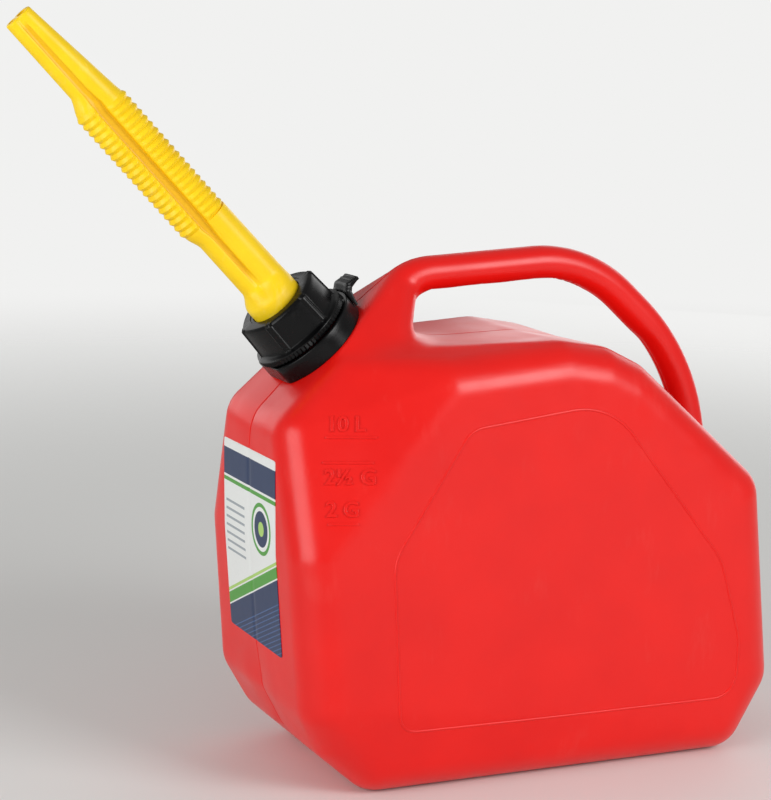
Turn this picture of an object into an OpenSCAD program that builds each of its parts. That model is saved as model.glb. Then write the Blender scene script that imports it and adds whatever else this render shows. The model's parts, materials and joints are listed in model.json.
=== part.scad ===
// Ten litre fuel can with a screw-on flexible pouring spout.
// The spout end points to -X, the base rests on z = 0 and the can is symmetric about y = 0.

/* [Tank] */
// Length of the tank along X
tank_l = 334; // [315:1:370]
// Width of the tank along Y
tank_w = 163; // [150:1:190]
// Height of the highest point of the tank top
tank_h = 270; // [262:1:280]
// Radius of the tank's rounded edges
edge_r = 23.4; // [20:0.2:25]
// Wall thickness of the blow moulding
wall_t = 2.4; // [1.8:0.1:3.2]
// Forward lean of the front face in degrees
front_lean = 3.2; // [2:0.2:5]
// Forward lean of the rear face in degrees
rear_lean = 5.8; // [3:0.2:8]
// Height where the front and rear faces turn in to the base
base_cut_z = 51; // [45:1:60]
// How far the front of the base is set back
base_cut_front = 31; // [22:1:40]
// How far the rear of the base is set forward
base_cut_rear = 17; // [13:1:30]
// Height of the lower end of the side creases on the front edges
crease_z = 148; // [130:1:160]
// Distance of the upper end of the side creases behind the front end
crease_set = 103; // [95:1:115]
// Drop of the tank top at the upper end of the side creases
crease_drop = 6; // [4:0.5:9]
// Drop of the bend from the front face to the neck's shoulder below the tank top
bend_drop = 55.4; // [53:0.2:59]
// Half width of the front face at that bend
bend_half = 36; // [34:1:42]
// Half width of the shoulder behind the neck
shoulder_half = 32; // [26:1:40]
// Drop of the shoulder's rear end below the tank top
shoulder_drop = 4; // [2:0.5:7]
// Place of the highest point of the tank top along X
apex_x = 9; // [0:1:18]
// Distance of the crown in front of the rear end
crown_set = 122; // [117:1:127]
// Drop of the crown below the highest point
crown_drop = 8; // [6:0.5:11]
// Distance of the upper end of the rear slope in front of the rear end
slope_set = 94; // [89:1:100]
// Drop of the upper end of the rear slope
slope_drop = 28; // [24:1:33]
// Height of the lower end of the rear slope
slope_low_z = 165; // [158:1:172]

/* [Handle] */
// Radius of the handle's round section
handle_r = 10.8; // [9:0.2:12]
// Distance of the handle's front end behind the neck's seat
handle_set = 64.8; // [61:0.2:69]
// Height of the handle's front end above the tank top
handle_lift = 35.5; // [32:0.5:39]
// Rise of the handle's top towards the rear in degrees
handle_rise = 3.5; // [2:0.5:5]
// Distance of the handle's foot in front of the rear end
foot_set = 23; // [20:0.2:26]
// Bend radius at the rear of the handle's top
handle_bend_r = 88; // [78:1:96]
// Turn of that bend in degrees
handle_bend = 45.5; // [42:0.5:49]
// Length of the straight rear leg
handle_leg_l = 17; // [12:1:24]
// Bend radius at the foot of the rear leg
handle_foot_r = 134; // [120:1:148]
// Turn of the foot bend in degrees
handle_foot = 44; // [40:1:48]
// Radius of the two bottom corners of the front leg
leg_corner_r = 13; // [10:0.5:15]
// Distance of those corners in front of the handle's front end
leg_back = 21; // [18:1:26]
// Half spacing of those corners
leg_corner_half = 17; // [12:1:22]
// Height of those corners above the centres of the tank's top edges
leg_corner_rise = 12; // [8:0.5:16]

/* [Neck] */
// Distance of the neck's seat behind the front end of the tank
neck_set = 42.2; // [40:0.2:45]
// Drop of the neck's seat below the tank top
neck_drop = 5.3; // [4:0.1:7]
// Angle of the neck above the horizontal in degrees
neck_elev = 47; // [45:0.5:49]
// Outside radius of the neck under its thread
neck_r = 20.8; // [19.6:0.2:21.2]
// Length of the neck above its seat
neck_l = 27.5; // [26:0.5:30]
// Thread pitch
thread_pitch = 6; // [5:0.5:7]
// How far the thread's root is sunk in the neck
thread_bite = 0.2; // [0.1:0.05:0.25]
// Depth of the thread
thread_depth = 1.6; // [1.2:0.1:1.7]
// Length of the threaded part of the neck
thread_l = 10; // [8:0.5:11]
// Plain length between the thread and the neck's mouth
thread_lead = 1.5; // [1:0.1:2]
// Radius of the boss under the neck
boss_r = 36; // [35.5:0.1:38]
// Depth of the boss below the neck's seat
boss_depth = 14; // [12:0.5:16]
// How far the neck's round shoulder zone reaches past the boss
boss_rim = 0.5; // [0.3:0.1:1]
// How deep the lock ring is sunk in the shoulder
seat_depth = 0.6; // [0.4:0.1:1.2]

/* [Lock ring and tab] */
// Outside radius of the lock ring
ring_r = 34.2; // [33.6:0.1:34.8]
// Height of the lock ring
ring_h = 12; // [10:0.2:13]
// Distance of the ring's front flat from its centre
ring_flat = 30.5; // [29:0.1:32]
// Height of the ring's upper rim above its inner step
ring_lip_h = 2.6; // [1.5:0.1:3]
// Height of the tab's foot above the ring's seat
tab_z = 4; // [3:0.5:5]
// Width of the release tab
tab_w = 15; // [10:0.5:18]
// Height of the release tab
tab_h = 12.5; // [11:0.5:15]
// Thickness of the release tab
tab_t = 2.6; // [2:0.1:3]
// How far the tab's lip curls outward
tab_lip = 11.5; // [8:0.5:12]
// Height of the tab's pawl at its root
pawl_h = 2.6; // [2:0.1:3]
// Height of the pawl at its edge
pawl_edge_h = 1.6; // [1:0.1:2]
// Height of the pawl above the collar's lower face
pawl_lift = 0.4; // [0.2:0.1:0.8]

/* [Screw collar] */
// Radius of the toothed rim
rim_r = 31.8; // [31.4:0.1:32.2]
// Height of the toothed rim
rim_h = 6; // [5:0.5:7]
// Height of the rim's teeth
tooth_h = 3.6; // [3:0.2:4.4]
// Depth of the rim's teeth
tooth_d = 0.8; // [0.5:0.1:1]
// How far the teeth stand inside the rim
tooth_set = 0.2; // [0.1:0.1:0.4]
// Number of teeth on the rim
tooth_n = 72; // [60:2:84]
// Corner radius of the six-sided collar at its foot
collar_foot_r = 28.8; // [28.4:0.1:29.4]
// Corner radius of the six-sided collar at its top
collar_top_r = 27.4; // [27:0.1:28.2]
// Half width of each corner between its two ribs
corner_half = 1.7; // [1.4:0.1:2.2]
// Radius of the corner ribs
rib_r = 0.9; // [0.6:0.1:1.1]
// Distance of the ribs' upper ends below the collar's top
rib_stop = 1; // [0.5:0.1:2]
// Thickness of the collar's top wall
collar_top_t = 6; // [3:0.1:7]
// Turn of the six-sided collar about the neck in degrees
collar_turn = -101; // [-120:1:-90]

/* [Spout] */
// Radius of the round bulb at the spout's base
bulb_r = 17; // [16:0.1:17.4]
// Height of the bulb above the flange
bulb_h = 5.4; // [4:0.1:10]
// Length over which the bulb runs out to the stem
bulb_run = 12; // [9:0.5:16]
// Thickness of the spout's flange
flange_t = 2.4; // [2:0.1:3]
// Thickness of the gasket
gasket_t = 1.6; // [1.2:0.1:2]
// Wall thickness of the spout
spout_wall = 1.6; // [1.2:0.1:2]
// Distance of the bellows' lower end from the neck's seat
bellows_from = 105; // [98:1:112]
// Number of bellows ribs
rib_n = 20; // [16:1:24]
// Pitch of the bellows ribs
rib_pitch = 4.7; // [4.4:0.1:5]
// Depth of the bellows ribs
rib_d = 1.6; // [1:0.1:2]
// Radius of the flow lobe
flow_r = 10; // [9.4:0.1:10.6]
// Offset of the flow lobe from the spout's axis
flow_at = 5.4; // [5:0.1:5.8]
// Radius of the vent lobe on the bellows
vent_r = 7.7; // [7.2:0.1:8.2]
// Offset of the vent lobe on the bellows
vent_at = 8.2; // [7.8:0.1:8.6]
// Radius of the vent lobe on the stem below the bellows
stem_vent_r = 6.4; // [6:0.1:7]
// Offset of the vent lobe on the stem
stem_vent_at = 5.6; // [5.2:0.1:6]
// Length of the step from the stem to the bellows
stem_step_l = 8; // [6:0.5:10]
// Radius of the flow lobe at the nozzle's root
root_flow_r = 8.5; // [8:0.1:9]
// Offset of the flow lobe at the nozzle's root
root_flow_at = 4.6; // [4.3:0.1:4.9]
// Radius of the vent lobe at the nozzle's root
root_vent_r = 5; // [4.7:0.1:5.3]
// Offset of the vent lobe at the nozzle's root
root_vent_at = 5.3; // [5:0.1:5.6]
// Radius of the flow lobe at the tip
tip_flow_r = 5.6; // [5.2:0.1:6]
// Radius of the vent lobe at the tip
tip_vent_r = 4.6; // [4.2:0.1:5]
// Offset of the flow lobe at the tip
tip_flow_at = 1.6; // [1.3:0.1:1.9]
// Offset of the vent lobe at the tip
tip_vent_at = 5.6; // [5.3:0.1:5.9]
// Length of the shoulder between bellows and nozzle
nozzle_step_l = 11; // [8:0.5:14]
// Length of the nozzle from the bellows to the tip
nozzle_l = 65; // [55:1:75]

/* [Label] */
// Width of the front label
label_w = 88; // [70:1:90]
// Height of the front label
label_h = 121; // [90:1:124]
// Height of the label's lower edge above the base
label_z = 83; // [80:1:90]
// Thickness of the label
label_t = 0.4; // [0.3:0.1:0.6]
// Corner radius of the label
label_corner = 2; // [1:0.5:4]

/* [Fits] */
// Gap between parts that move past each other
run_gap = 0.35; // [0.3:0.05:0.5]
// Gap round the lock ring in its seat
seat_gap = 0.3; // [0.2:0.05:0.4]
// Radial gap in the screw thread
thread_gap = 0.7; // [0.6:0.05:0.8]
// Gap between parts that are pressed together
touch_gap = 0.04; // [0.02:0.01:0.06]

/* [Hidden] */

RED = "#d9261f";
BLACK = "#1d1d1f";
YELLOW = "#f7cf1f";
RUBBER = "#3a3a3c";
PAPER = "#e8ebee";

HULL_FN = 32;
ROUND_FN = 64;
THREAD_N = 24;
THREAD_RINGS = 10;
LOBE_N = 28;
HANDLE_N = 24;
TOP_BEND_STEPS = 6;
FOOT_BEND_STEPS = 5;
RISE_STEPS = 8;
ROOT_STEPS = 4;
EPS = 0.01;
CUT = 1;

// Tank edges: centres of the rounded corners, one side of the can
half_in = tank_w / 2 - edge_r;
front_x = -tank_l / 2;
rear_x = tank_l / 2;
bend_z = tank_h - bend_drop;
neck_x = front_x + neck_set;
neck_z = tank_h - neck_drop;
function front_at(z) = front_x + edge_r + (bend_z - z) * tan(front_lean);
function rear_at(z) = rear_x - edge_r - (z - base_cut_z) * tan(rear_lean);
top_z = tank_h - edge_r;
along = [sin(neck_elev), 0, cos(neck_elev)];
bend = [front_at(bend_z), bend_half, bend_z];
// The shoulder is square to the neck
shoulder_run = (top_z - shoulder_drop - bend_z) / cos(neck_elev);
shoulder = [bend.x + shoulder_run * along.x, shoulder_half, bend.z + shoulder_run * along.z];
corners = [
    [front_at(base_cut_z) + base_cut_front, half_in, edge_r],
    [front_at(base_cut_z), half_in, base_cut_z],
    [front_at(crease_z), half_in, crease_z],
    bend,
    shoulder,
    [front_x + crease_set, half_in, top_z - crease_drop],
    [apex_x, half_in, top_z],
    [rear_x - crown_set, half_in, top_z - crown_drop],
    [rear_x - slope_set, half_in, top_z - slope_drop],
    [rear_at(slope_low_z), half_in, slope_low_z],
    [rear_at(base_cut_z), half_in, base_cut_z],
    [rear_at(base_cut_z) - base_cut_rear, half_in, edge_r]
];

// Handle centre line: points and headings from the front end to the foot
handle_x = neck_x + handle_set;
leg_heading = handle_rise - handle_bend;
foot_heading = leg_heading - handle_foot;
bends_l = handle_bend_r * (sin(handle_rise) - sin(leg_heading)) + handle_leg_l * cos(leg_heading)
    + handle_foot_r * (sin(leg_heading) - sin(foot_heading));
handle_top_l = (rear_x - foot_set - handle_x - bends_l) / cos(handle_rise);
handle_a = [handle_x, tank_h + handle_lift];
handle_b = handle_a + handle_top_l * [cos(handle_rise), sin(handle_rise)];
handle_c = turn_end(handle_b, handle_rise, handle_bend_r, handle_bend);
handle_d = handle_c + handle_leg_l * [cos(leg_heading), sin(leg_heading)];
handle_e = turn_end(handle_d, leg_heading, handle_foot_r, handle_foot);
foot_l = max(2, handle_e.y - slope_low_z - handle_r / 2);
function turn_centre(p, heading, r) = p + r * [sin(heading), -cos(heading)];
function turn_end(p, heading, r, turn) =
    turn_centre(p, heading, r) + r * [-sin(heading - turn), cos(heading - turn)];

// Neck and what stands on it, measured along the neck from its seat
neck_in_r = neck_r - wall_t;
thread_crest_r = neck_r + thread_depth;
thread_off = (thread_depth + thread_bite) / 2;
thread_from = neck_l - thread_l - thread_lead;
gasket_z = neck_l + touch_gap;
flange_z = gasket_z + gasket_t + touch_gap;
collar_roof_z = flange_z + flange_t + run_gap;
collar_z = ring_h + run_gap;
collar_end = collar_roof_z + collar_top_t;
body_z = collar_z + tooth_h;
collar_taper = atan((collar_foot_r - collar_top_r) / (collar_end - body_z));
cavity_r = thread_crest_r + thread_gap;
flange_r = neck_r - run_gap;
bulb_hole_r = bulb_r + run_gap;
flats = collar_top_r * cos(30 - asin(corner_half / collar_top_r));
bellows_to = bellows_from + rib_n * rib_pitch;
tip_z = bellows_to + nozzle_l;
stem_z = collar_end + bulb_h + bulb_run;
tab_n = ring_r + run_gap;
pawl_l = tab_n - rim_r - run_gap;

module neck_frame() translate([neck_x, 0, neck_z]) rotate([0, neck_elev - 90, 0]) children();

// Tank hull with all its corner radii reduced by inset
module tank_form(inset) hull()
    for (c = corners, side = [-1, 1])
        translate([c.x, side * c.y, c.z]) sphere(r = edge_r - inset, $fn = HULL_FN);

// Round tube along rings of points, closed by its two end faces
module sweep(rings) {
    n = len(rings[0]);
    last = len(rings) - 1;
    polyhedron(points = [for (ring = rings, p = ring) p],
        faces = concat([[for (i = [0 : n - 1]) i]], [[for (i = [n - 1 : -1 : 0]) last * n + i]],
            [for (k = [0 : last - 1], i = [0 : n - 1], t = [0, 1]) let (
                a = k * n + i, b = k * n + (i + 1) % n, c = a + n, d = b + n)
                t == 0 ? [a, c, b] : [b, c, d]]));
}

// Points [x, z] and headings along a bend
function bend_points(p, heading, r, turn, steps) = [for (i = [0 : steps])
    let (t = turn * i / steps) [turn_end(p, heading, r, t), heading - t]];

// One ring of the handle's section, square to its heading
function handle_ring(p, heading, r) = [for (i = [0 : HANDLE_N - 1]) let (a = i * 360 / HANDLE_N)
    [p.x - r * cos(a) * sin(heading), -r * sin(a), p.y + r * cos(a) * cos(heading)]];

module handle_form(r) {
    path = concat([[handle_a, handle_rise]],
        bend_points(handle_b, handle_rise, handle_bend_r, handle_bend, TOP_BEND_STEPS),
        bend_points(handle_d, leg_heading, handle_foot_r, handle_foot, FOOT_BEND_STEPS),
        [[handle_e + foot_l * [cos(foot_heading), sin(foot_heading)], foot_heading]]);
    sweep([for (p = path) handle_ring(p[0], p[1], r)]);
}

// Broad front leg of the handle, which also carries the rear of the neck
module leg_form(inset) hull() {
    boss_top = inset > 0 ? -inset : seat_depth;
    neck_frame() translate([0, 0, -boss_depth])
        cylinder(r = boss_r - inset, h = boss_depth + boss_top, $fn = HULL_FN * 2);
    translate([handle_a.x, 0, handle_a.y]) sphere(r = handle_r - inset, $fn = HULL_FN);
    for (side = [-1, 1])
        translate([handle_x - leg_back, side * leg_corner_half, top_z + leg_corner_rise])
            sphere(r = leg_corner_r - inset, $fn = HULL_FN);
}

// Round thread: a circle set off its axis, whose offset turns along it
function thread_ring(crest_r, z) = [for (i = [0 : THREAD_N - 1]) let (
    a = i * 360 / THREAD_N,
    d = lobe_at(thread_off, crest_r - thread_off, a - 360 * z / thread_pitch))
    [d * cos(a), d * sin(a), z]];
module thread(crest_r, from, to) {
    steps = ceil((to - from) / thread_pitch * THREAD_RINGS);
    sweep([for (k = [0 : steps]) thread_ring(crest_r, mix(from, to, k / steps))]);
}

// Plan of the lock ring: a disc with a flat that keys it to the shoulder
module ring_plan(gap) intersection() {
    circle(r = ring_r + gap, $fn = ROUND_FN);
    translate([-ring_flat - gap, -2 * ring_r]) square(4 * ring_r);
}

// Round zone of the shoulder that carries the neck
module neck_zone(gap) neck_frame() translate([0, 0, -boss_depth - CUT])
    cylinder(r = boss_r + boss_rim + gap, h = boss_depth + seat_depth + 2 * CUT, $fn = ROUND_FN);

// Bore and flat seat under the neck
module neck_cuts() neck_frame() {
    translate([0, 0, -boss_depth - 2 * CUT])
        cylinder(r = neck_in_r, h = boss_depth + 3 * CUT, $fn = ROUND_FN);
    linear_extrude(height = ring_h) ring_plan(seat_gap);
}

module can_body() color(RED) difference() {
    tank_form(0);
    tank_form(wall_t);
    neck_zone(touch_gap);
    neck_cuts();
}

module can_handle() color(RED) difference() {
    union() {
        leg_form(0);
        handle_form(handle_r);
    }
    tank_form(0);
    leg_form(wall_t);
    handle_form(handle_r - wall_t);
    neck_zone(touch_gap);
    neck_cuts();
}

// Threaded neck with the zone of the shoulder that it stands on
module can_neck() color(RED) {
    difference() {
        intersection() {
            union() {
                tank_form(0);
                difference() {
                    leg_form(0);
                    leg_form(wall_t);
                }
            }
            neck_zone(0);
        }
        tank_form(wall_t);
        neck_cuts();
    }
    neck_frame() difference() {
        union() {
            translate([0, 0, -wall_t / 2]) cylinder(r = neck_r, h = neck_l + wall_t / 2, $fn = ROUND_FN);
            thread(thread_crest_r, thread_from, thread_from + thread_l);
        }
        translate([0, 0, -wall_t]) cylinder(r = neck_in_r, h = neck_l + 2 * wall_t, $fn = ROUND_FN);
    }
}

module lock_ring() color(BLACK) neck_frame() difference() {
    translate([0, 0, touch_gap]) linear_extrude(height = ring_h - touch_gap) ring_plan(0);
    translate([0, 0, -CUT]) cylinder(r = neck_r + touch_gap, h = ring_h + 2 * CUT, $fn = ROUND_FN);
    translate([0, 0, ring_h - ring_lip_h]) cylinder(r = rim_r, h = ring_lip_h + CUT, $fn = ROUND_FN);
}

// Springy tongue with a pawl that faces the collar's teeth and a lip to pull it by
module release_tab() color(BLACK) neck_frame()
    translate([tab_n, tab_w / 2, tab_z]) rotate([90, 0, 0]) linear_extrude(height = tab_w) union() {
        square([tab_t, tab_h]);
        translate([-pawl_l, collar_z + pawl_lift - tab_z])
            polygon([[0, 0], [pawl_l + EPS, 0], [pawl_l + EPS, pawl_h], [0, pawl_edge_h]]);
        translate([tab_t, tab_h]) difference() {
            translate([-tab_t, -tab_lip]) square([tab_lip, tab_lip]);
            translate([tab_lip - tab_t, -tab_lip]) circle(r = tab_lip - tab_t, $fn = ROUND_FN);
        }
    }

// Toothed rim in plan: saw teeth with a steep and a shallow side
module rim_plan() {
    valley_at = 0.6;
    polygon([for (i = [0 : tooth_n - 1], e = [0, 1]) let (a = (i + e * valley_at) * 360 / tooth_n)
        (rim_r - tooth_set - e * tooth_d) * [cos(a), sin(a)]]);
}

module six_sided(h) intersection() {
    cylinder(r1 = collar_foot_r, r2 = collar_top_r, h = h, $fn = ROUND_FN);
    cylinder(r = flats / cos(30), h = h, $fn = 6);
}

module screw_collar() color(BLACK) neck_frame() difference() {
    union() {
        translate([0, 0, collar_z]) linear_extrude(height = tooth_h) rim_plan();
        translate([0, 0, body_z]) cylinder(r = rim_r, h = rim_h - tooth_h, $fn = ROUND_FN);
        rotate([0, 0, collar_turn + 30]) translate([0, 0, body_z]) {
            six_sided(collar_end - body_z);
            for (a = [0 : 60 : 300], side = [-1, 1])
                rotate([0, 0, a]) translate([collar_foot_r - rib_r / 2, side * corner_half, 0])
                    rotate([0, -collar_taper, 0])
                        cylinder(r = rib_r, h = collar_end - body_z - rib_stop, $fn = HULL_FN);
        }
    }
    thread(cavity_r, collar_z - CUT, collar_roof_z);
    translate([0, 0, collar_roof_z - CUT])
        cylinder(r = bulb_hole_r, h = collar_top_t + 2 * CUT, $fn = ROUND_FN);
}

function mix(a, b, t) = a + (b - a) * t;
// Distance to the edge of a lobe at offset c with radius r, in direction a
function lobe_at(c, r, a) = let (s = r * r - pow(c * sin(a), 2)) s < 0 ? 0 : c * cos(a) + sqrt(s);
// Outline of the two-lobed section [flow radius, flow offset, vent radius, vent offset] at height z
function section(s, inset, z) = [for (i = [0 : LOBE_N - 1]) let (
    a = (i + 0.5) * 360 / LOBE_N,
    d = max(lobe_at(s[1], s[0] - inset, a), lobe_at(-s[3], s[2] - inset, a)))
    [d * cos(a), d * sin(a), z]];

// Hollow loft through outer and inner outlines that share their ends
module tube_loft(outer, inner) {
    no = len(outer);
    rings = concat(outer, [for (i = [len(inner) - 1 : -1 : 0]) inner[i]]);
    n = len(rings);
    polyhedron(points = [for (ring = rings, p = ring) p],
        faces = [for (k = [0 : n - 1], i = [0 : LOBE_N - 1], t = [0, 1]) let (
            a = k * LOBE_N + i, b = k * LOBE_N + (i + 1) % LOBE_N,
            c = (k + 1) % n * LOBE_N + i, d = (k + 1) % n * LOBE_N + (i + 1) % LOBE_N)
            t == 0 ? [a, c, b] : [b, c, d]]);
}

bulb = [bulb_r, 0, bulb_r, 0];
stem = [flow_r, flow_at, stem_vent_r, stem_vent_at];
ribbed = [flow_r, flow_at, vent_r, vent_at];
crest = ribbed + [rib_d / 2, 0, rib_d / 2, 0];
valley = ribbed - [rib_d / 2, 0, rib_d / 2, 0];
tip = [tip_flow_r, tip_flow_at, tip_vent_r, tip_vent_at];
root = [root_flow_r, root_flow_at, root_vent_r, root_vent_at];
// Share of the way from one section to the next in an S-shaped step
function ease(t) = (1 - cos(180 * t)) / 2;

module spout_base() color(YELLOW) neck_frame() {
    rise = [for (i = [0 : RISE_STEPS]) let (t = i / RISE_STEPS)
        [mix(bulb, stem, ease(t)), mix(collar_end + bulb_h, stem_z, t)]];
    path = concat([[bulb, flange_z + flange_t / 4]], rise,
        [[stem, bellows_from - stem_step_l], [valley, bellows_from - touch_gap]]);
    tube_loft([for (p = path) section(p[0], 0, p[1])], [for (p = path) section(p[0], spout_wall, p[1])]);
    difference() {
        translate([0, 0, flange_z]) cylinder(r = flange_r, h = flange_t, $fn = ROUND_FN);
        translate([0, 0, flange_z - CUT])
            cylinder(r = bulb_r - spout_wall / 2, h = flange_t + 2 * CUT, $fn = ROUND_FN);
    }
}

// Ribbed length that bends
module spout_bellows() color(YELLOW) neck_frame() {
    outer = [for (i = [0 : 2 * rib_n])
        section(i % 2 == 0 ? valley : crest, 0, bellows_from + i * rib_pitch / 2)];
    tube_loft(outer, [section(valley, spout_wall, bellows_from), section(valley, spout_wall, bellows_to)]);
}

module spout_nozzle() color(YELLOW) neck_frame() {
    from = bellows_to + run_gap;
    step = [for (i = [0 : ROOT_STEPS]) let (t = i / ROOT_STEPS)
        [mix(valley, root, ease(t)), from + nozzle_step_l * t]];
    path = concat(step, [[tip, tip_z]]);
    tube_loft([for (p = path) section(p[0], 0, p[1])], [for (p = path) section(p[0], spout_wall, p[1])]);
}

module spout_gasket() color(RUBBER) neck_frame() translate([0, 0, gasket_z]) difference() {
    cylinder(r = flange_r, h = gasket_t, $fn = ROUND_FN);
    translate([0, 0, -CUT]) cylinder(r = neck_in_r, h = gasket_t + 2 * CUT, $fn = ROUND_FN);
}

// Thin label on the leaning front face
module front_label() color(PAPER)
    translate([front_at(label_z), 0, label_z]) rotate([0, -front_lean, 0])
        translate([-edge_r - touch_gap, 0, 0]) rotate([90, 0, -90])
            linear_extrude(height = label_t) translate([-label_w / 2, 0])
                offset(r = label_corner, $fn = HULL_FN) translate([label_corner, label_corner])
                    square([label_w - 2 * label_corner, label_h - 2 * label_corner]);

can_body();
can_neck();
can_handle();
lock_ring();
release_tab();
screw_collar();
spout_base();
spout_bellows();
spout_nozzle();
spout_gasket();
front_label();
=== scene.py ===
"""Ten litre fuel can with a screw-on flexible pouring spout.

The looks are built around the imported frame, in metres: the part's sizes are written in millimetres and scaled
by MM. The spout end points to -X, the base rests on z = 0, and the can's moulding is symmetric about y = 0
apart from its level marks.
"""

import json
import logging
import math
from collections.abc import Callable, Iterator, Sequence
from contextlib import contextmanager
from dataclasses import astuple, dataclass, replace
from enum import Enum
from typing import Any, ClassVar

import bpy
import numpy as np
from mathutils import Matrix, Vector


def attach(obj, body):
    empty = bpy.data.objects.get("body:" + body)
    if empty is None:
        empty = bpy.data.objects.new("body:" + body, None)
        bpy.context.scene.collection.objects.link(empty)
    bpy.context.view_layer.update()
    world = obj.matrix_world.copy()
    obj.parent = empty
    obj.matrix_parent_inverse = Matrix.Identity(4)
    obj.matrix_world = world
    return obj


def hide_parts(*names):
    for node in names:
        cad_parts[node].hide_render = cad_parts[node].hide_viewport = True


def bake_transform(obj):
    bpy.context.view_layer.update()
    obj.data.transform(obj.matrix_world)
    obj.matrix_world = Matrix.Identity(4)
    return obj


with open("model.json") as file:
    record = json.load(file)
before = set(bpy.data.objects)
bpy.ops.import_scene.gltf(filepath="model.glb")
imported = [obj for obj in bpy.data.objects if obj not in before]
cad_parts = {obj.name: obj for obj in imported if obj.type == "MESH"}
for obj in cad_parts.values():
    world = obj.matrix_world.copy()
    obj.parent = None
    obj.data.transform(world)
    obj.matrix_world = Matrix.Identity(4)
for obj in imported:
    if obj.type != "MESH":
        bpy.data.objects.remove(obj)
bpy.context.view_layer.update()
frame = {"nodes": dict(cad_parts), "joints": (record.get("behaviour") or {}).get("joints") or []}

LOG = logging.getLogger("fuel_can")
MM = 0.001
# Distances within which a loft's points are welded and a cut snaps to a point
WELD, SNAP = MM / 500, MM / 100
# Colour sockets of the Mix node: its two inputs and its result
MIX_A, MIX_B, MIX_OUT = 6, 7, 2
Node = bpy.types.Node
Tree = bpy.types.NodeTree
Socket = bpy.types.NodeSocket
Object = bpy.types.Object
Material = bpy.types.Material
Points = np.ndarray
Pair = tuple[float, float]
Triple = tuple[float, float, float]


class Body(Enum):
    """Bodies of the frame that pieces ride on."""

    CAN = "can"
    TAB = "tab"
    COLLAR = "collar"
    SPOUT = "spout"
    NOZZLE = "nozzle"


class Slot(Enum):
    """Material slots of the record."""

    RED = "red_hdpe"
    BLACK = "black_plastic"
    YELLOW = "yellow_pe"
    FILM = "label_film"


# Numbers and points

def srgb(code: str) -> tuple[float, float, float, float]:
    """Turns an sRGB hex colour to linear.

    Args:
        code: Colour such as "#e62d26".

    Returns:
        Linear red, green, blue and an alpha of 1.
    """
    parts = [int(code[i:i + 2], 16) / 255 for i in (1, 3, 5)]
    red, green, blue = (c / 12.92 if c <= 0.04045 else ((c + 0.055) / 1.055) ** 2.4 for c in parts)
    return red, green, blue, 1.0


def per_mm(size: float) -> float:
    """Texture scale on Object coordinates for features of a size in millimetres."""
    return 1.0 / (size * MM)


def smooth(value: Any, low: float, high: float) -> Any:
    """Smooth step from 0 at low to 1 at high, for numbers and arrays."""
    share = np.clip((value - low) / (high - low), 0.0, 1.0)
    return share * share * (3 - 2 * share)


def mix(start: Any, end: Any, share: Any) -> Any:
    """Value that lies a share of the way from start to end."""
    return start + (end - start) * share


def soft_min(one: Any, two: Any, blend: float) -> Any:
    """Smaller of two values, with the meeting corner rounded over a blend length."""
    share = np.clip(0.5 + 0.5 * (two - one) / blend, 0.0, 1.0)
    return mix(two, one, share) - blend * share * (1 - share)


def circle(count: int) -> Points:
    """Evenly spaced angles once round a circle."""
    return np.linspace(0, 2 * math.pi, count, endpoint=False)


# Mesh tools

def lone(obj: Object) -> None:
    """Makes an object the only selected one and the active one.

    Args:
        obj: Object to select.
    """
    bpy.ops.object.select_all(action="DESELECT")
    obj.select_set(True)
    bpy.context.view_layer.objects.active = obj


@contextmanager
def editing(obj: Object) -> Iterator[None]:
    """Edit mode on one object, with all of its mesh selected.

    Args:
        obj: Mesh object to edit.

    Returns:
        Context in which mesh operators work on the object.
    """
    lone(obj)
    bpy.ops.object.mode_set(mode="EDIT")
    bpy.ops.mesh.select_all(action="SELECT")
    yield
    bpy.ops.object.mode_set(mode="OBJECT")


def added(operator: Callable[..., Any], **settings: Any) -> Object:
    """Adds an object with nothing else selected.

    Args:
        operator: Operator that adds it, such as bpy.ops.mesh.primitive_cube_add.
        settings: Settings of the operator by name.

    Returns:
        The new object.
    """
    bpy.ops.object.select_all(action="DESELECT")
    operator(**settings)
    return bpy.context.object


def finish_modifier(obj: Object, kind: str, **settings: Any) -> None:
    """Adds a modifier with its settings and applies it.

    Args:
        obj: Object to change.
        kind: Modifier type, such as "BEVEL".
        settings: Modifier properties by name.
    """
    modifier = obj.modifiers.new(kind.title(), kind)
    for key, value in settings.items():
        setattr(modifier, key, value)
    lone(obj)
    bpy.ops.object.modifier_apply(modifier=modifier.name)


def rows_of(items: Any, key: str) -> Points:
    """Reads one vector of each item of a mesh.

    Args:
        items: Collection of the mesh, such as its vertices.
        key: Name of the vector.

    Returns:
        One row of three numbers per item.
    """
    rows = np.empty(len(items) * 3, np.float32)
    items.foreach_get(key, rows)
    return rows.reshape(-1, 3).astype(float)


def points_of(obj: Object) -> Points:
    """Vertex places of a mesh as rows."""
    return rows_of(obj.data.vertices, "co")


def normals_of(obj: Object) -> Points:
    """Smooth vertex normals of a mesh as rows."""
    return rows_of(obj.data.vertex_normals, "vector")


def set_points(obj: Object, places: Points) -> None:
    """Moves the vertices of a mesh to new places."""
    obj.data.vertices.foreach_set("co", places.astype(np.float32).ravel())
    obj.data.update()


def paint(obj: Object, name: str, values: Points) -> None:
    """Keeps one number per vertex as a named attribute that materials read."""
    layer = obj.data.attributes.new(name, "FLOAT", "POINT")
    layer.data.foreach_set("value", values.astype(np.float32))


def joined(name: str, pieces: Sequence[Object]) -> Object:
    """Joins objects into the first one.

    Args:
        name: Name that the first one gets.
        pieces: Objects to join.

    Returns:
        The first object with all meshes in it.
    """
    lone(pieces[0])
    for piece in pieces:
        piece.select_set(True)
    bpy.ops.object.join()
    pieces[0].name = name
    return pieces[0]


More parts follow.
